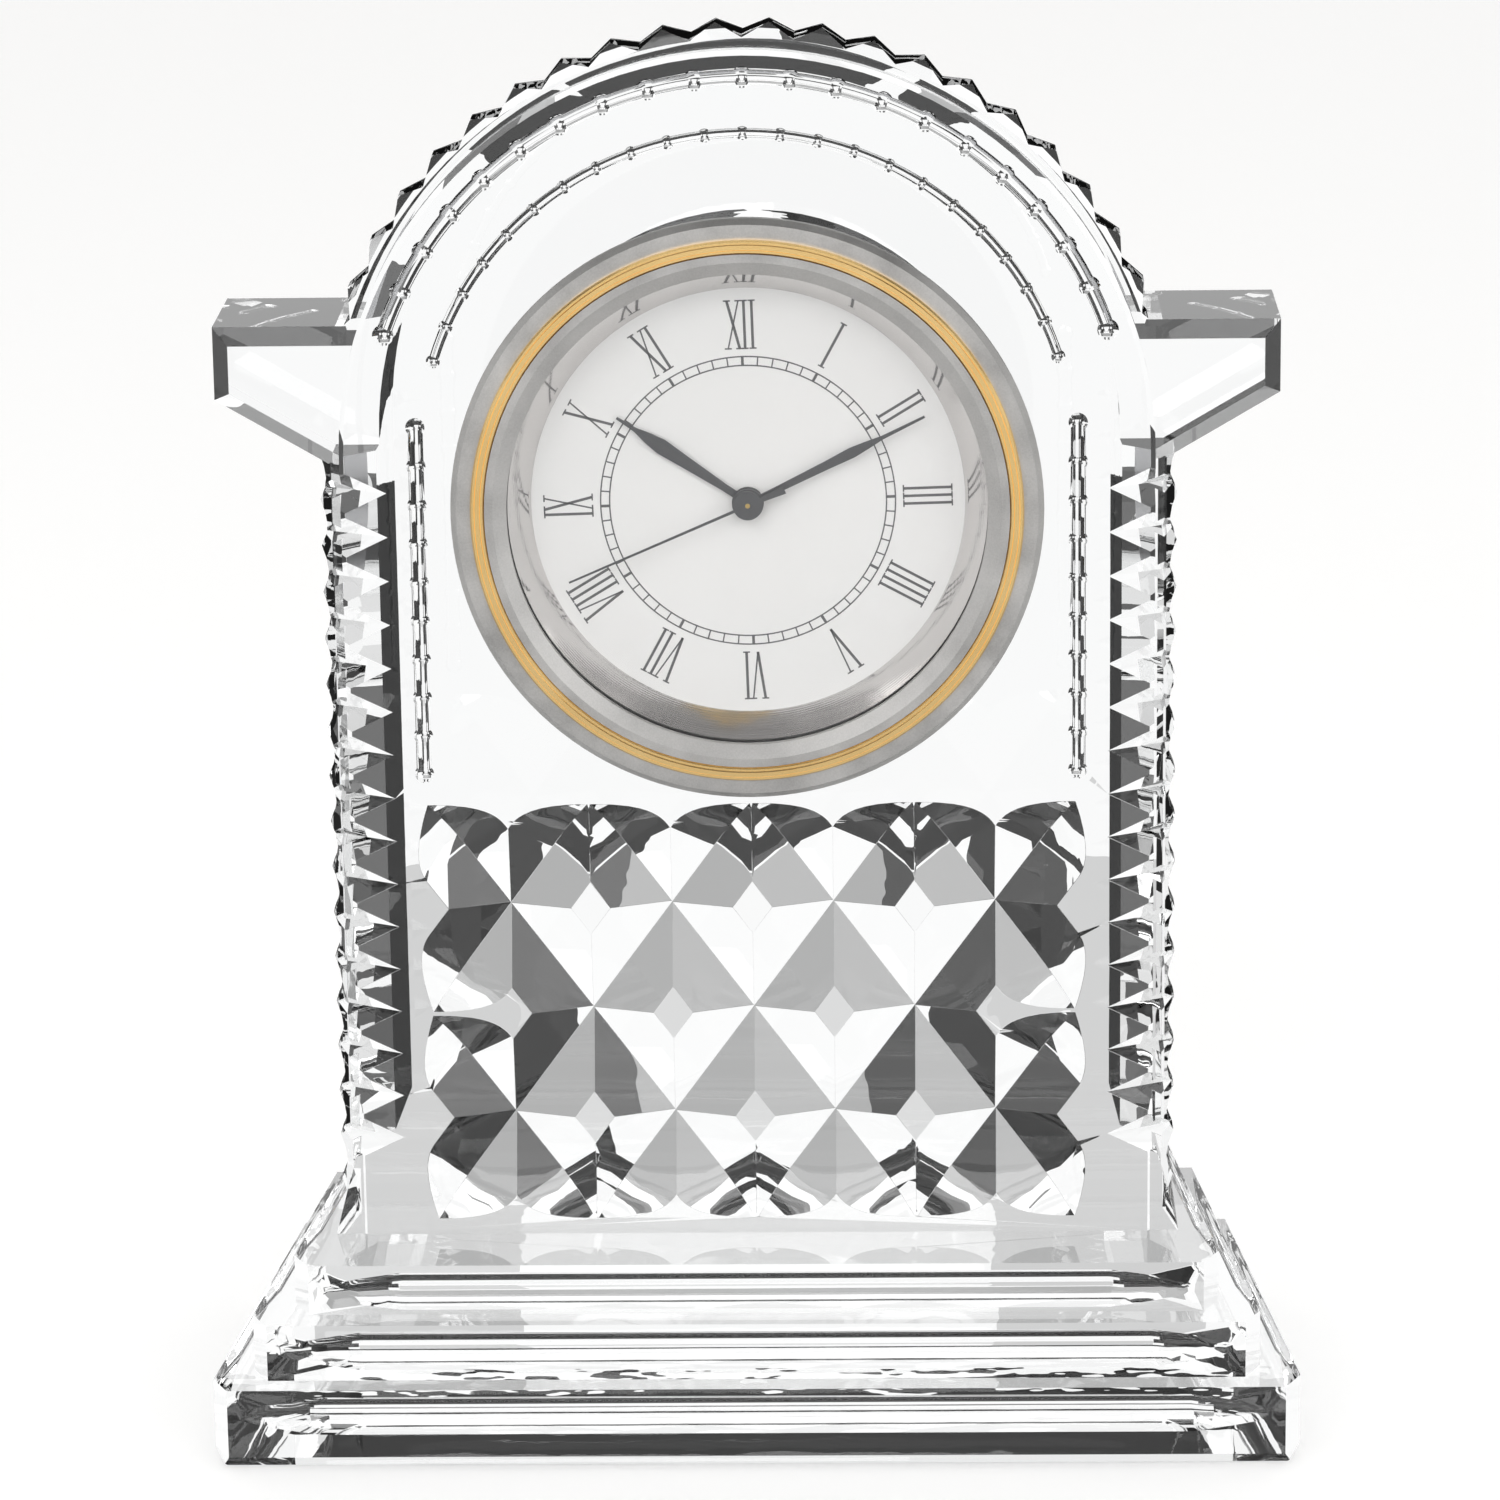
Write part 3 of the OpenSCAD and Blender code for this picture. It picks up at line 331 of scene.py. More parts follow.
@dataclass(frozen=True)
class WorkedMetal:
    """Plated or machined metal, with fine lines and handling marks."""

    name: str
    dark: Colour
    light: Colour
    roughness: float
    grain: Grain = Grain.NONE
    line_depth: float = 0.01
    marks: float = 0.12
    metallic: float = 1.0
    cloud_cells: float = 0.15
    cloud_detail: float = 4.0
    cloud_share: float = 0.6
    line_strength: float = 0.35
    line_detail: float = 3.0
    ring_scale: float = 1.6
    ring_wander: float = 0.6
    ring_detail_scale: float = 2.0
    straight_cells: tuple[float, float, float] = (0.25, 9.0, 9.0)
    plain_cells: float = 6.0

    def build(self) -> bpy.types.Material:
        """Makes the metal, clouded by handling and lined by its working.

        Returns:
            The material.
        """
        nodes = Nodes(self.name)
        cloud = nodes.even_noise(self.cloud_cells, self.cloud_detail)
        fine = self._lines(nodes)
        mixed = cloud * self.cloud_share + fine * (1.0 - self.cloud_share)
        rough = self.roughness + (cloud - 0.5) * self.marks + (fine - 0.5) * (0.5 * self.marks)
        return nodes.finish(
            {
                "Base Color": nodes.tint(mixed, self.dark, self.light),
                "Metallic": self.metallic,
                "Roughness": rough,
                "Normal": nodes.bump(fine, self.line_strength, self.line_depth),
            }
        )

    def _lines(self, nodes: Nodes) -> Value:
        """Height of the fine lines.

        Args:
            nodes: the material's builder.

        Returns:
            Height from 0 to 1.
        """
        if self.grain is Grain.ROUND:
            return nodes.make(
                "ShaderNodeTexWave",
                {"wave_type": "RINGS", "rings_direction": "Y"},
                {
                    "Vector": nodes.place(),
                    "Scale": self.ring_scale,
                    "Distortion": self.ring_wander,
                    "Detail": self.line_detail,
                    "Detail Scale": self.ring_detail_scale,
                },
                "Fac",
            )
        if self.grain is Grain.STRAIGHT:
            return nodes.noise(self.straight_cells, self.line_detail)
        return nodes.even_noise(self.plain_cells, self.line_detail)


@dataclass(frozen=True)
class Coating:
    """Lacquer, paint, moulded plastic or rubber."""

    name: str
    dark: Colour
    light: Colour
    roughness: float
    grain_mm: float = 0.15
    bump_depth: float = 0.01
    coat: float = 0.0
    detail: float = 3.0
    cloud_cells: float = 0.08
    cloud_share: float = 0.7
    uneven: float = 0.15
    bump_strength: float = 0.4

    def build(self) -> bpy.types.Material:
        """Makes the coating, faintly clouded and grained.

        Returns:
            The material.
        """
        nodes = Nodes(self.name)
        grain = nodes.even_noise(1.0 / self.grain_mm, self.detail)
        cloud = nodes.even_noise(self.cloud_cells, self.detail)
        mixed = cloud * self.cloud_share + grain * (1.0 - self.cloud_share)
        return nodes.finish(
            {
                "Base Color": nodes.tint(mixed, self.dark, self.light),
                "Roughness": self.roughness + (grain - 0.5) * self.uneven,
                "Coat Weight": self.coat,
                "Normal": nodes.bump(grain, self.bump_strength, self.bump_depth),
            }
        )


@dataclass(frozen=True)
class WoundWire:
    """Fine enamelled wire, wound round an upright core."""

    name: str
    dark: Colour = rgba(0.25, 0.06, 0.02)
    light: Colour = rgba(0.75, 0.30, 0.12)
    metallic: float = 0.8
    roughness: float = 0.3
    uneven: float = 0.1
    band_scale: float = 2.5
    band_wander: float = 0.4
    band_detail: float = 1.0
    groove_strength: float = 0.8
    groove_depth: float = 0.05

    def build(self) -> bpy.types.Material:
        """Makes the wire's level turns.

        Returns:
            The material.
        """
        nodes = Nodes(self.name)
        turns = nodes.make(
            "ShaderNodeTexWave",
            {"wave_type": "BANDS", "bands_direction": "Z"},
            {
                "Vector": nodes.place(),
                "Scale": self.band_scale,
                "Distortion": self.band_wander,
                "Detail": self.band_detail,
            },
            "Fac",
        )
        return nodes.finish(
            {
                "Base Color": nodes.tint(turns, self.dark, self.light),
                "Metallic": self.metallic,
                "Roughness": self.roughness + turns * self.uneven,
                "Normal": nodes.bump(turns, self.groove_strength, self.groove_depth),
            }
        )


@dataclass(frozen=True)
class SolderMask:
    """Green lacquered board with copper tracks under the lacquer."""

    name: str
    bare: Colour = rgba(0.01, 0.10, 0.04)
    over_track: Colour = rgba(0.05, 0.24, 0.09)
    roughness: float = 0.32
    uneven: float = 0.08
    coat: float = 0.3
    track_w: float = 0.12
    track_run: float = 2.3
    track_pitch: float = 0.8
    track_shift: float = 0.35
    track_strength: float = 0.5
    track_depth: float = 0.03

    def build(self) -> bpy.types.Material:
        """Makes the board, whose tracks are the joints of a brick pattern.

        Returns:
            The material.
        """
        nodes = Nodes(self.name)
        tracks = nodes.make(
            "ShaderNodeTexBrick",
            {"offset": self.track_shift},
            {
                "Vector": nodes.place(),
                "Scale": 1.0,
                "Mortar Size": self.track_w,
                "Brick Width": self.track_run,
                "Row Height": self.track_pitch,
            },
            "Fac",
        )
        return nodes.finish(
            {
                "Base Color": nodes.tint(tracks, self.bare, self.over_track),
                "Roughness": self.roughness + tracks * self.uneven,
                "Coat Weight": self.coat,
                "Normal": nodes.bump(tracks, self.track_strength, self.track_depth),
            }
        )


CUT_CRYSTAL = ClearGlass("cut_crystal")
LENS_GLASS = ClearGlass("lens_glass", ior=1.5, polish_waves=0.0, shadow_clear=0.97)
SATIN_SILVER = WorkedMetal(
    "satin_silver",
    dark=rgba(0.21, 0.205, 0.20),
    light=rgba(0.64, 0.63, 0.615),
    roughness=0.42,
    line_depth=0.012,
    marks=0.3,
)
GOLD_PLATE = WorkedMetal(
    "gold_plate",
    dark=rgba(1.0, 0.62, 0.21),
    light=rgba(1.0, 0.76, 0.38),
    roughness=0.24,
    grain=Grain.ROUND,
    line_depth=0.0012,
    marks=0.05,
)
POLISHED_CONE = WorkedMetal(
    "polished_cone",
    dark=rgba(0.66, 0.64, 0.63),
    light=rgba(0.74, 0.72, 0.71),
    roughness=0.07,
    grain=Grain.ROUND,
    line_depth=0.002,
    marks=0.03,
    metallic=0.92,
)
MACHINED_STEEL = WorkedMetal(
    "machined_steel",
    dark=rgba(0.42, 0.42, 0.43),
    light=rgba(0.62, 0.62, 0.63),
    roughness=0.32,
    grain=Grain.ROUND,
)
TRAIN_BRASS = WorkedMetal(
    "train_brass",
    dark=rgba(0.62, 0.42, 0.14),
    light=rgba(0.85, 0.64, 0.28),
    roughness=0.26,
    grain=Grain.STRAIGHT,
    line_depth=0.006,
)
SINTERED_MAGNET = WorkedMetal(
    "sintered_magnet",
    dark=rgba(0.16, 0.15, 0.15),
    light=rgba(0.28, 0.26, 0.26),
    roughness=0.5,
    line_depth=0.03,
)
DIAL_LACQUER = Coating(
    "dial_lacquer",
    dark=rgba(0.80, 0.785, 0.77),
    light=rgba(0.86, 0.85, 0.84),
    roughness=0.55,
    grain_mm=0.12,
    bump_depth=0.004,
)
PRINT_INK = Coating(
    "print_ink",
    dark=rgba(0.085, 0.083, 0.086),
    light=rgba(0.13, 0.128, 0.13),
    roughness=0.5,
    grain_mm=0.08,
    bump_depth=0.003,
)
HAND_LACQUER = Coating(
    "hand_lacquer",
    dark=rgba(0.045, 0.046, 0.05),
    light=rgba(0.075, 0.076, 0.08),
    roughness=0.38,
    grain_mm=0.1,
    bump_depth=0.003,
    coat=0.2,
)
WHITE_PLASTIC = Coating(
    "white_plastic",
    dark=rgba(0.70, 0.68, 0.62),
    light=rgba(0.82, 0.80, 0.75),
    roughness=0.42,
    grain_mm=0.25,
)
BLACK_PLASTIC = Coating(
    "black_plastic",
    dark=rgba(0.016, 0.016, 0.018),
    light=rgba(0.035, 0.035, 0.037),
    roughness=0.4,
    grain_mm=0.2,
    bump_depth=0.02,
)
GRIP_RUBBER = Coating(
    "grip_rubber",
    dark=grey(0.014),
    light=grey(0.03),
    roughness=0.75,
    grain_mm=0.1,
    bump_depth=0.02,
)
COIL_WIRE = WoundWire("coil_wire")
BOARD = SolderMask("board")

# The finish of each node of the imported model
NODE_FINISHES = {
    CUT_CRYSTAL: ("crystal_body",),
    LENS_GLASS: ("lens",),
    SATIN_SILVER: ("bezel_flange", "inner_ring"),
    GOLD_PLATE: ("gold_ring",),
    POLISHED_CONE: ("dial_surround",),
    MACHINED_STEEL: (
        "case_cup", "movement_screws", "stator", "coil_core", "quartz_can", "battery",
        "setting_stem",
    ),
    TRAIN_BRASS: (
        "hour_wheel", "cannon_pinion", "second_wheel", "centre_wheel", "third_wheel",
        "minute_wheel", "plus_contact", "minus_contact",
    ),
    SINTERED_MAGNET: ("rotor",),
    DIAL_LACQUER: ("dial",),
    HAND_LACQUER: ("hour_hand", "minute_hand", "second_hand"),
    WHITE_PLASTIC: ("movement_holder", "main_plate", "rear_bridge", "intermediate_wheel"),
    BLACK_PLASTIC: ("timing_chip", "battery_cap", "setting_knob"),
    GRIP_RUBBER: ("lens_gasket", "grip_ring"),
    COIL_WIRE: ("coil",),
    BOARD: ("circuit_board",),
}


def dress_nodes() -> dict[str, bpy.types.Material]:
    """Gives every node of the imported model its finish.

    Returns:
        The materials by name.
    """
    made = {}
    for finish, names in NODE_FINISHES.items():
        material = finish.build()
        made[finish.name] = material
        for name in names:
            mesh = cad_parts[name].data
            mesh.materials.clear()
            mesh.materials.append(material)
            log.info("dressed %s in %s", name, finish.name)
    return made


# Pieces made here


class Piece:
    """One new mesh, shaped in the clock's own frame."""

    def __init__(self, name: str) -> None:
        """Starts an empty mesh.

        Args:
            name: the piece's name.
        """
        self.name = name
        self.shape = bmesh.new()

    def bar(self, width: float, length: float, thick: float, place: Matrix) -> None:
        """Adds a flat bar along y, centred on the place given.

        Args:
            width: size along x.
            length: size along y.
            thick: size along z.
            place: where the bar goes.
        """
        size = Matrix.Diagonal((width, length, thick, 1.0))
        bmesh.ops.create_cube(self.shape, size=1.0, matrix=place @ size)

    def ring(self, profile: list[tuple[float, float]], steps: int) -> None:
        """Adds a solid of revolution about the clock's axis.

        Args:
            profile: closed outline, radius and height of each point.
            steps: number of steps in a full turn.
        """
        points = [self.shape.verts.new((radius, 0.0, height)) for radius, height in profile]
        edges = [
            self.shape.edges.new((first, second))
            for first, second in zip(points, points[1:] + points[:1])
        ]
        bmesh.ops.spin(
            self.shape,
            geom=points + edges,
            cent=(0.0, 0.0, 0.0),
            axis=(0.0, 0.0, 1.0),
            angle=math.tau,
            steps=steps,
            use_merge=True,
        )
        bmesh.ops.remove_doubles(self.shape, verts=self.shape.verts, dist=1e-5)
        bmesh.ops.recalc_face_normals(self.shape, faces=self.shape.faces)

    def done(self, material: bpy.types.Material, body: Body) -> bpy.types.Object:
        """Places the mesh in the model and gives it a finish.

        Args:
            material: the finish.
            body: the body it rides on.

        Returns:
            The finished object.
        """
        bmesh.ops.transform(self.shape, matrix=CLOCK_PLACE, verts=self.shape.verts)
        mesh = bpy.data.meshes.new(self.name)
        self.shape.to_mesh(mesh)
        self.shape.free()
        mesh.materials.append(material)
        piece = bpy.data.objects.new(self.name, mesh)
        bpy.context.scene.collection.objects.link(piece)
        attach(piece, body.value)
        log.info("made %s: %d faces", self.name, len(mesh.polygons))
        return piece


def smooth_by_angle(mesh: bpy.types.Mesh, degrees: float) -> None:
    """Shades a mesh smooth, with its sharp edges kept.

    Args:
        mesh: the mesh.
        degrees: angle above which an edge stays sharp.
    """
    mesh.shade_smooth()
    mesh.set_sharp_from_angle(angle=math.radians(degrees))


@dataclass
class CrystalBody:
    """The cut crystal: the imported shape, joined up and shaded smooth between its edges."""

    join_mm: float = 0.001
    sharp_degrees: float = 22.0
    eased_mm: float = 0.11
    eased_degrees: float = 15.0
    eased_from_mm: float = 0.5
    panel_low: float = 25.0
    panel_high: float = 82.0
    panel_front: float = -0.1
    panel_deep: float = 4.0

    def build(self, material: bpy.types.Material) -> bpy.types.Object:
        """Makes the crystal.

        Args:
            material: its glass.

        Returns:
            The crystal.
        """
        shape = bmesh.new()
        shape.from_mesh(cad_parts["crystal_body"].data)
        bmesh.ops.remove_doubles(shape, verts=shape.verts, dist=self.join_mm * MM)
        self._ease_panel(shape)
        mesh = bpy.data.meshes.new("crystal")
        shape.to_mesh(mesh)
        shape.free()
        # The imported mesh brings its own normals, which would blur the cut edges
        kept = mesh.attributes.get("custom_normal")
        if kept:
            mesh.attributes.remove(kept)
        smooth_by_angle(mesh, self.sharp_degrees)
        mesh.materials.clear()
        mesh.materials.append(material)
        crystal = bpy.data.objects.new("crystal", mesh)
        bpy.context.scene.collection.objects.link(crystal)
        weighted = crystal.modifiers.new("weighted_normals", "WEIGHTED_NORMAL")
        weighted.mode = "FACE_AREA"
        weighted.keep_sharp = True
        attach(crystal, Body.CRYSTAL.value)
        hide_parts("crystal_body")
        log.info("made crystal: %d faces", len(mesh.polygons))
        return crystal

    def _ease_panel(self, shape: bmesh.types.BMesh) -> None:
        """Rounds the panel's cut edges a little, as polishing does.

        Args:
            shape: the crystal's mesh.
        """
        least = math.radians(self.eased_degrees)
        edges = [
            edge
            for edge in shape.edges
            if edge.is_manifold
            and edge.calc_length() > self.eased_from_mm * MM
            and edge.calc_face_angle() > least
            and all(self._on_panel(vert.co) for vert in edge.verts)
        ]
        bmesh.ops.bevel(
            shape,
            geom=edges,
            offset=self.eased_mm * MM,
            offset_type="OFFSET",
            segments=2,
            profile=0.5,
            affect="EDGES",
            material=-1,
            clamp_overlap=True,
        )
        log.info("eased %d edges of the panel", len(edges))

    def _on_panel(self, place: Vector) -> bool:
        """Tells whether a point lies in the cut panel.

        Args:
            place: the point, in metres.

        Returns:
            True where it does.
        """
        deep = self.panel_front < place.y / MM - FACE_Y < self.panel_deep
        high = self.panel_low < place.z / MM < self.panel_high
        return deep and high


@dataclass
class DialPrint:
    """The printed track and roman numerals on the dial."""

    dial_front: float = -5.0
    ink: float = 0.02
    turned: float = 1.5
    track_inner: float = 16.9
    track_outer: float = 18.0
    line: float = 0.17
    five_line: float = 0.34
    foot_r: float = 19.0
    height: float = 5.9
    stem: float = 0.33
    hair: float = 0.19
    serif: float = 0.86
    serif_t: float = 0.18
    stem_step: float = 0.95
    letter_gap: float = 0.35
    vee_w: float = 1.5
    ex_w: float = 1.4
    ring_steps: int = 180

    MINUTES: ClassVar[int] = 60
    MINUTES_A_MARK: ClassVar[int] = 5
    NUMERALS: ClassVar[tuple[str, ...]] = (
        "XII", "I", "II", "III", "IIII", "V", "VI", "VII", "VIII", "IX", "X", "XI",
    )

    def build(self, ink: bpy.types.Material) -> list[bpy.types.Object]:
        """Makes the track and the numerals.

        Args:
            ink: the finish of the print.

        Returns:
            The two pieces.
        """
        return [self._track(ink), self._numerals(ink)]

    def _at(self, share: float, radius: float) -> Matrix:
        """Place on the dial, with y pointing outwards.

        Args:
            share: share of a full turn from twelve o'clock, clockwise.
            radius: distance from the centre.

        Returns:
            The place.
        """
        turn = Matrix.Rotation(math.radians(self.turned) - math.tau * share, 4, "Z")
        return turn @ Matrix.Translation((0.0, radius, self.dial_front + 0.5 * self.ink))

    def _track(self, ink: bpy.types.Material) -> bpy.types.Object:
        """Makes the minute track.

        Args:
            ink: the finish of the print.

        Returns:
            The track.
        """
        piece = Piece("minute_track")
        low = self.dial_front
        high = self.dial_front + self.ink
        length = self.track_outer - self.track_inner
        middle = 0.5 * (self.track_inner + self.track_outer)
        for minute in range(self.MINUTES):
            width = self.line if minute % self.MINUTES_A_MARK else self.five_line
            piece.bar(width, length, self.ink, self._at(minute / self.MINUTES, middle))
        for radius in (self.track_inner, self.track_outer):
            near = radius - 0.5 * self.line
            far = radius + 0.5 * self.line
            outline = [(near, low), (far, low), (far, high), (near, high)]
            piece.ring(outline, self.ring_steps)
        return piece.done(ink, Body.INSERT)

    def _numerals(self, ink: bpy.types.Material) -> bpy.types.Object:
        """Makes the twelve numerals.

        Args:
            ink: the finish of the print.

        Returns:
            The numerals.
        """
        piece = Piece("dial_numerals")
        widths = {
            "I": self.stem_step,
            "V": self.vee_w + self.letter_gap,
            "X": self.ex_w + self.letter_gap,
        }
        for hour, numeral in enumerate(self.NUMERALS):
            place = self._at(hour / len(self.NUMERALS), self.foot_r)
            x = -0.5 * sum(widths[letter] for letter in numeral)
            for letter in numeral:
                centre = x + 0.5 * widths[letter]
                self._letter(piece, letter, place @ Matrix.Translation((centre, 0.0, 0.0)))
                x += widths[letter]
        return piece.done(ink, Body.INSERT)

    def _letter(self, piece: Piece, letter: str, place: Matrix) -> None:
        """Adds one letter.

        Args:
            piece: the mesh to add to.
            letter: I, V or X.
            place: middle of the letter's foot.
        """
        top = self.height
        if letter == "I":
            self._stroke(piece, place, (0.0, 0.0), (0.0, top), self.stem)
            self._serif(piece, place, 0.0, 0.0)
            self._serif(piece, place, 0.0, top)
        elif letter == "V":
            half = 0.5 * self.vee_w
            self._stroke(piece, place, (0.0, 0.0), (-half, top), self.stem)
            self._stroke(piece, place, (0.0, 0.0), (half, top), self.hair)
            self._serif(piece, place, -half, top)
            self._serif(piece, place, half, top)
        else:
            half = 0.5 * self.ex_w
            self._stroke(piece, place, (half, 0.0), (-half, top), self.stem)
            self._stroke(piece, place, (-half, 0.0), (half, top), self.hair)
            for x in (-half, half):
                self._serif(piece, place, x, 0.0)
                self._serif(piece, place, x, top)

    def _stroke(
        self,
        piece: Piece,
        place: Matrix,
        start: tuple[float, float],
        end: tuple[float, float],
        width: float,
    ) -> None:
        """Adds one stroke of a letter.

        Args:
            piece: the mesh to add to.
            place: middle of the letter's foot.
            start: lower end.
            end: upper end.
            width: width of the stroke.
        """
        run = Vector(end) - Vector(start)
        middle = 0.5 * (Vector(start) + Vector(end))
        lean = Matrix.Rotation(-math.atan2(run.x, run.y), 4, "Z")
        at = place @ Matrix.Translation((middle.x, middle.y, 0.0)) @ lean
        piece.bar(width, run.length, self.ink, at)

    def _serif(self, piece: Piece, place: Matrix, x: float, y: float) -> None:
        """Adds the short bar that ends a stroke.

        Args:
            piece: the mesh to add to.
            place: middle of the letter's foot.
            x: sideways place.
            y: height.
        """
        piece.bar(self.serif, self.serif_t, self.ink, place @ Matrix.Translation((x, y, 0.0)))


# Studio


@dataclass(frozen=True)
class Card:
    """One dark or grey part of the surroundings, which only glass and metal see.

    Directions are degrees from the middle of the clock: across from straight behind it to the right,
    and up from level. A paired card stands on the left as well, and a card that isn't mirrored is
    seen only through the glass. The distance is metres.
    """

    name: str
    across: tuple[float, float]
    up: tuple[float, float]
    level: float
    paired: bool = False
    distance: float = 15.0
    mirrored: bool = True


CARDS = (
    # Painted shadow: a grey card where glass and metal would see the floor just behind the clock, in
    # the clock's shadow, since they don't see the floor
    Card("card_painted_floor_shadow", (-13.3, 13.3), (-33.0, -23.6), 0.42),
    Card("card_low_side", (13.3, 18.0), (-33.0, -23.6), 0.06, paired=True),
    Card("card_behind", (-18.0, 18.0), (-7.2, 10.4), 0.01),
    Card("card_behind_top", (-18.0, 18.0), (12.3, 14.5), 0.22),
    Card("card_riser", (-14.0, 14.0), (21.0, 23.4), 0.01),
    Card("card_upper", (-11.0, 11.0), (38.5, 41.0), 0.01),
    Card("card_side", (18.0, 40.0), (-14.0, 30.0), 0.01, paired=True),
    Card("card_side_near", (4.8, 13.6), (-19.3, -12.7), 0.01, paired=True),
    Card("card_side_low", (7.6, 21.0), (-23.2, -19.3), 0.01, paired=True),
    Card("card_side_edge", (13.8, 18.0), (-19.3, -7.2), 0.01, paired=True),
    Card("card_side_gap", (6.6, 8.8), (-12.7, -7.2), 0.01, paired=True),
    Card("card_far_side", (58.0, 76.0), (-34.0, -12.0), 0.12, paired=True),
    Card("card_column", (2.5, 4.7), (-22.5, -16.5), 0.66, paired=True),
    Card("card_table", (-2.5, 2.5), (-19.75, -17.5), 0.74),
    Card("card_ear_slope", (3.0, 10.0), (-39.0, -36.4), 0.14, paired=True),
    Card("card_under_side", (3.5, 9.0), (-45.0, -39.0), 0.05, paired=True),
    Card("card_under_edge", (9.5, 14.0), (-48.5, -44.5), 0.02, paired=True),
    Card("card_beads", (-26.0, 26.0), (-54.5, -50.0), 0.02),
    Card("card_beads_side", (26.0, 46.0), (-51.5, -45.5), 0.02, paired=True),
    Card("card_under_far", (-20.0, 20.0), (-74.0, -64.0), 0.05),
    Card("card_front", (150.0, 210.0), (-40.0, -8.0), 0.55),
    Card("card_above", (100.0, 260.0), (34.0, 86.0), 0.12, distance=14.0),
    Card("card_front_wide", (112.0, 248.0), (-62.0, 58.0), 0.8, distance=16.0, mirrored=False),
    Card("card_front_low", (142.0, 218.0), (-62.0, -46.0), 0.12, mirrored=False),
    Card("card_front_high", (142.0, 218.0), (10.0, 22.0), 0.2, mirrored=False),
)


@dataclass(frozen=True)
class Lamp:
    """One soft square lamp, placed in metres."""

    name: str
    place: tuple[float, float, float]
    watts: float
    side: float = 1.0


LAMPS = (
    Lamp("key_lamp", (-0.4, -1.3, 0.75), 8.0),
    Lamp("fill_lamp", (0.6, -1.2, 0.5), 5.4),
)


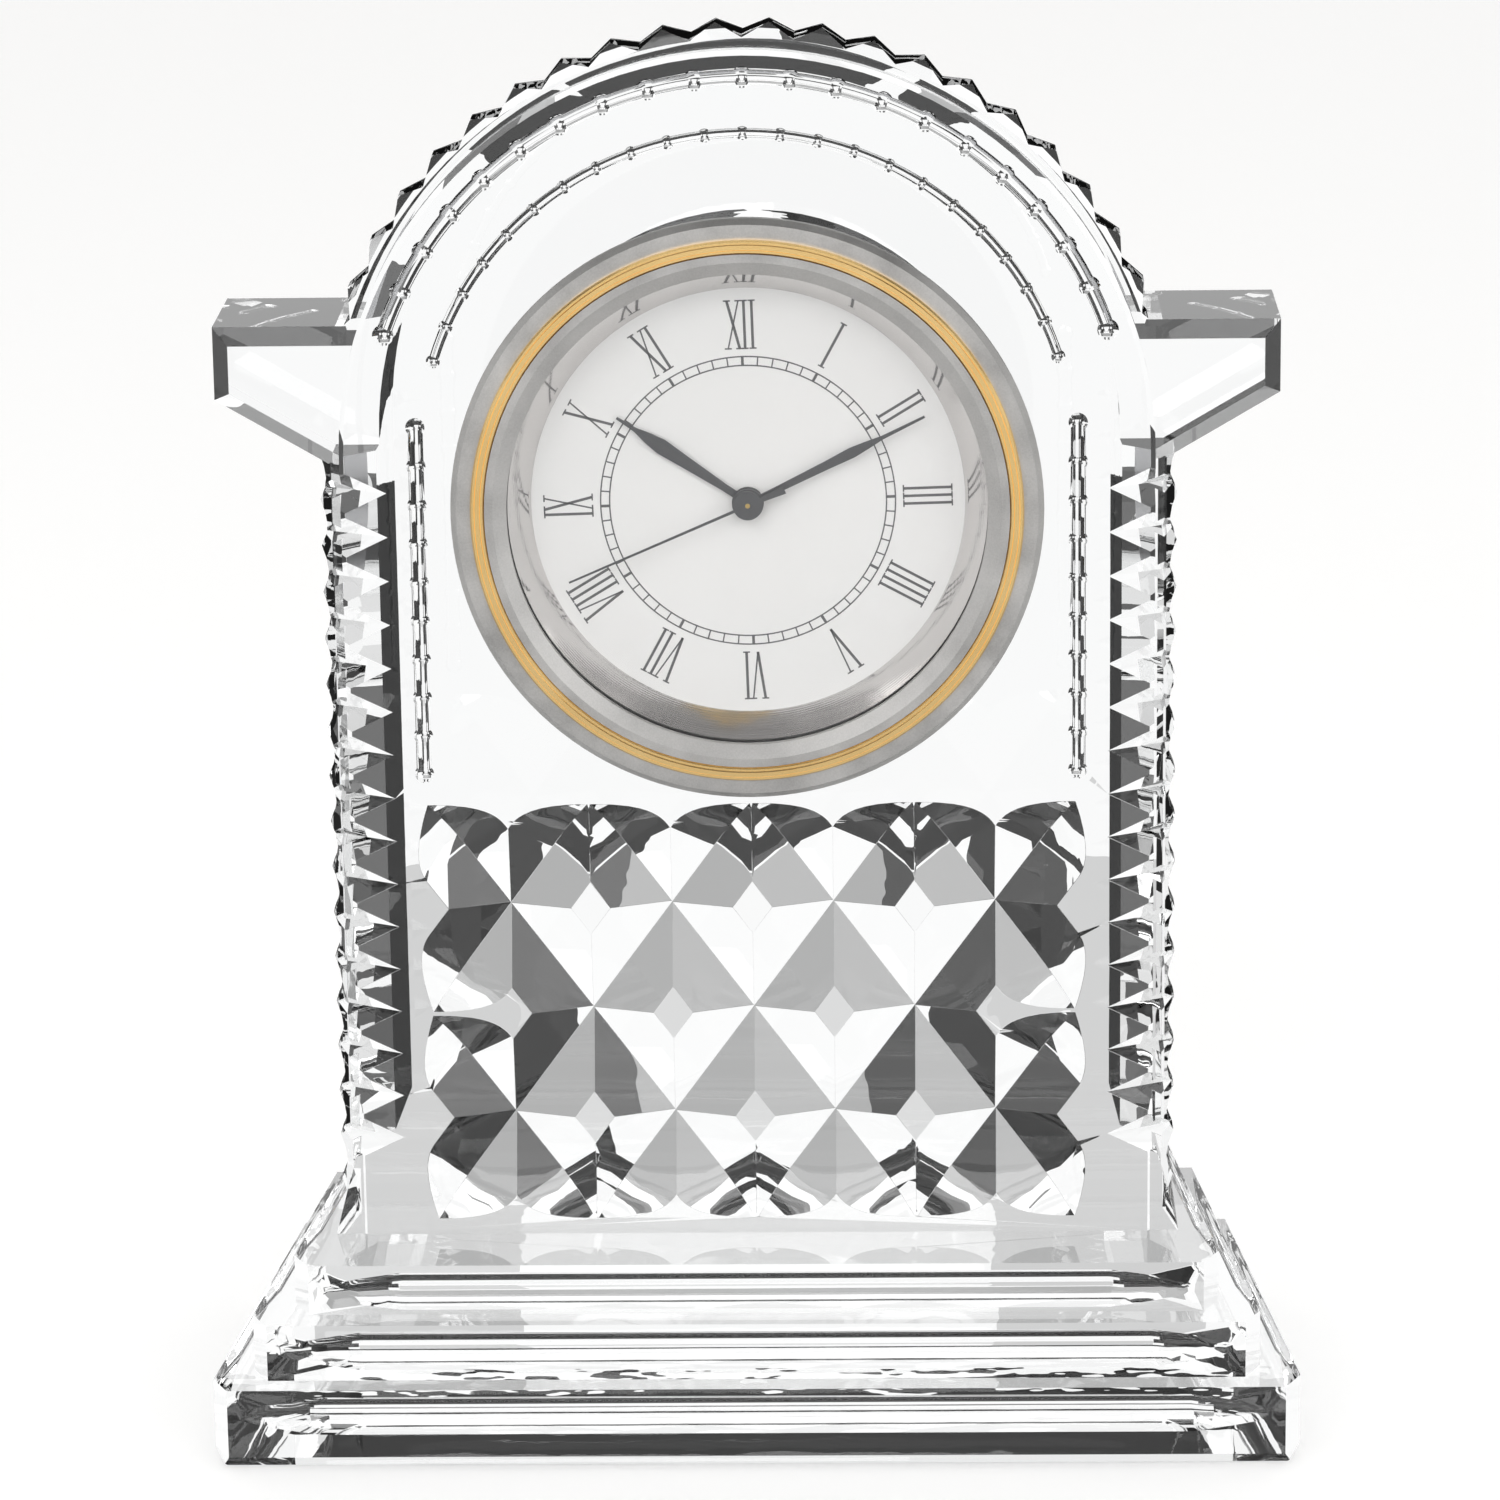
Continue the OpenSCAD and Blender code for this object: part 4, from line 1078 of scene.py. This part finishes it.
@dataclass
class Studio:
    """White room, with cards that only the glass and metal see. Its lengths are metres."""

    centre: tuple[float, float, float] = (0.0, 0.0, 0.09)
    floor_level: float = -0.0004
    floor_half: float = 3.0
    floor_grey: float = 0.93
    floor_rough: float = 0.7
    floor_lift: float = 0.12
    card_turn: float = -1.4
    card_steps: int = 12
    sky: float = 0.85
    sky_colour: Colour = rgba(1.0, 0.995, 0.985)

    def build(self) -> None:
        """Makes the floor, the cards, the world and the lamps."""
        self._floor()
        for card in CARDS:
            self._card(card)
            if card.paired:
                left = (-card.across[1], -card.across[0])
                self._card(replace(card, name=card.name + "_left", across=left))
        self._world()
        for lamp in LAMPS:
            self._lamp(lamp)

    @staticmethod
    def _sheet(name: str, shape: bmesh.types.BMesh) -> bpy.types.Object:
        """Makes one sheet that isn't part of the clock.

        Args:
            name: its name.
            shape: its mesh, which is used up.

        Returns:
            The sheet.
        """
        mesh = bpy.data.meshes.new(name)
        shape.to_mesh(mesh)
        shape.free()
        sheet = bpy.data.objects.new(name, mesh)
        bpy.context.scene.collection.objects.link(sheet)
        return sheet

    def _floor(self) -> None:
        """Makes the pale floor, which glows a little so that it reads as white."""
        shape = bmesh.new()
        bmesh.ops.create_grid(
            shape,
            x_segments=1,
            y_segments=1,
            size=self.floor_half,
            matrix=Matrix.Translation((0.0, 0.0, self.floor_level)),
        )
        floor = self._sheet("studio_floor", shape)
        # Glass and metal look through the table at the white surroundings and the cards
        floor.visible_transmission = False
        floor.visible_glossy = False
        nodes = Nodes("studio_floor")
        floor.data.materials.append(
            nodes.finish(
                {
                    "Base Color": grey(self.floor_grey),
                    "Roughness": self.floor_rough,
                    "Emission Color": WHITE,
                    "Emission Strength": self.floor_lift,
                }
            )
        )

    def _card(self, card: Card) -> None:
        """Makes one card, as a part of a sphere.

        Args:
            card: where it stands and how bright it looks.
        """
        left, right = card.across
        low, high = card.up
        shape = bmesh.new()
        bmesh.ops.create_grid(
            shape, x_segments=self.card_steps, y_segments=self.card_steps, size=1.0
        )
        for vert in shape.verts:
            side = math.radians(self.card_turn + left + 0.5 * (vert.co.x + 1.0) * (right - left))
            rise = math.radians(low + 0.5 * (vert.co.y + 1.0) * (high - low))
            toward = Vector(
                (math.sin(side) * math.cos(rise), math.cos(side) * math.cos(rise), math.sin(rise))
            )
            vert.co = Vector(self.centre) + card.distance * toward
        sheet = self._sheet(card.name, shape)
        nodes = Nodes(card.name)
        sheet.data.materials.append(
            nodes.finish(
                {
                    "Base Color": BLACK,
                    "Roughness": 1.0,
                    "Specular IOR Level": 0.0,
                    "Emission Color": grey(card.level),
                    "Emission Strength": 1.0,
                }
            )
        )
        sheet.visible_camera = False
        sheet.visible_diffuse = False
        sheet.visible_shadow = False
        sheet.visible_glossy = card.mirrored

    def _world(self) -> None:
        """Makes the white world, which lights the clock more softly than it shows."""
        world = bpy.data.worlds.new("studio_world")
        world.use_nodes = True
        bpy.context.scene.world = world
        tree = world.node_tree
        tree.nodes.clear()
        path = tree.nodes.new("ShaderNodeLightPath")
        lights = tree.nodes.new("ShaderNodeBackground")
        lights.inputs["Color"].default_value = self.sky_colour
        lights.inputs["Strength"].default_value = self.sky
        shows = tree.nodes.new("ShaderNodeBackground")
        shows.inputs["Color"].default_value = WHITE
        shows.inputs["Strength"].default_value = 1.0
        mix = tree.nodes.new("ShaderNodeMixShader")
        out = tree.nodes.new("ShaderNodeOutputWorld")
        tree.links.new(path.outputs["Is Diffuse Ray"], mix.inputs[0])
        tree.links.new(shows.outputs[0], mix.inputs[1])
        tree.links.new(lights.outputs[0], mix.inputs[2])
        tree.links.new(mix.outputs[0], out.inputs["Surface"])

    def _lamp(self, lamp: Lamp) -> None:
        """Makes one lamp, aimed at the clock.

        Args:
            lamp: where it hangs, how large it is and its power.
        """
        data = bpy.data.lights.new(lamp.name, "AREA")
        data.size = lamp.side
        data.energy = lamp.watts
        light = bpy.data.objects.new(lamp.name, data)
        light.location = lamp.place
        aim = Vector(self.centre) - Vector(lamp.place)
        light.rotation_euler = aim.to_track_quat("-Z", "Y").to_euler()
        bpy.context.scene.collection.objects.link(light)


@dataclass
class PhotoCamera:
    """The camera that took the photograph."""

    look_at: tuple[float, float, float] = (-0.05, -11.5, 86.75)
    distance: float = 741.1
    pitch: float = 15.4
    yaw: float = 1.42
    roll: float = -0.765
    focal_px: float = 6042.6
    image_px: float = 1500.0
    sensor: float = 36.0
    nearest_m: float = 0.01
    farthest_m: float = 20.0

    def build(self) -> bpy.types.Object:
        """Makes the camera and sets it as the scene's own.

        Returns:
            The camera.
        """
        pitch, yaw, roll = (math.radians(angle) for angle in (self.pitch, self.yaw, self.roll))
        back = Vector(
            (
                math.sin(yaw) * math.cos(pitch),
                -math.cos(yaw) * math.cos(pitch),
                math.sin(pitch),
            )
        )
        right = Vector((0.0, 0.0, 1.0)).cross(back).normalized()
        up = back.cross(right)
        turned_right = math.cos(roll) * right + math.sin(roll) * up
        turned_up = math.cos(roll) * up - math.sin(roll) * right
        data = bpy.data.cameras.new("photo_camera")
        data.sensor_width = self.sensor
        data.lens = self.focal_px * self.sensor / self.image_px
        data.clip_start = self.nearest_m
        data.clip_end = self.farthest_m
        camera = bpy.data.objects.new("photo_camera", data)
        turn = Matrix((turned_right, turned_up, back)).transposed()
        place = MM * (Vector(self.look_at) + self.distance * back)
        camera.matrix_world = Matrix.Translation(place) @ turn.to_4x4()
        bpy.context.scene.collection.objects.link(camera)
        bpy.context.scene.camera = camera
        return camera


def main() -> None:
    """Builds the clock's looks, the studio and the camera."""
    logging.basicConfig(level=logging.INFO, format="%(name)s: %(message)s")
    bpy.context.scene.view_settings.view_transform = "Standard"
    finishes = dress_nodes()
    CrystalBody().build(finishes[CUT_CRYSTAL.name])
    DialPrint().build(PRINT_INK.build())
    Studio().build()
    PhotoCamera().build()


if __name__ == "__main__":
    main()
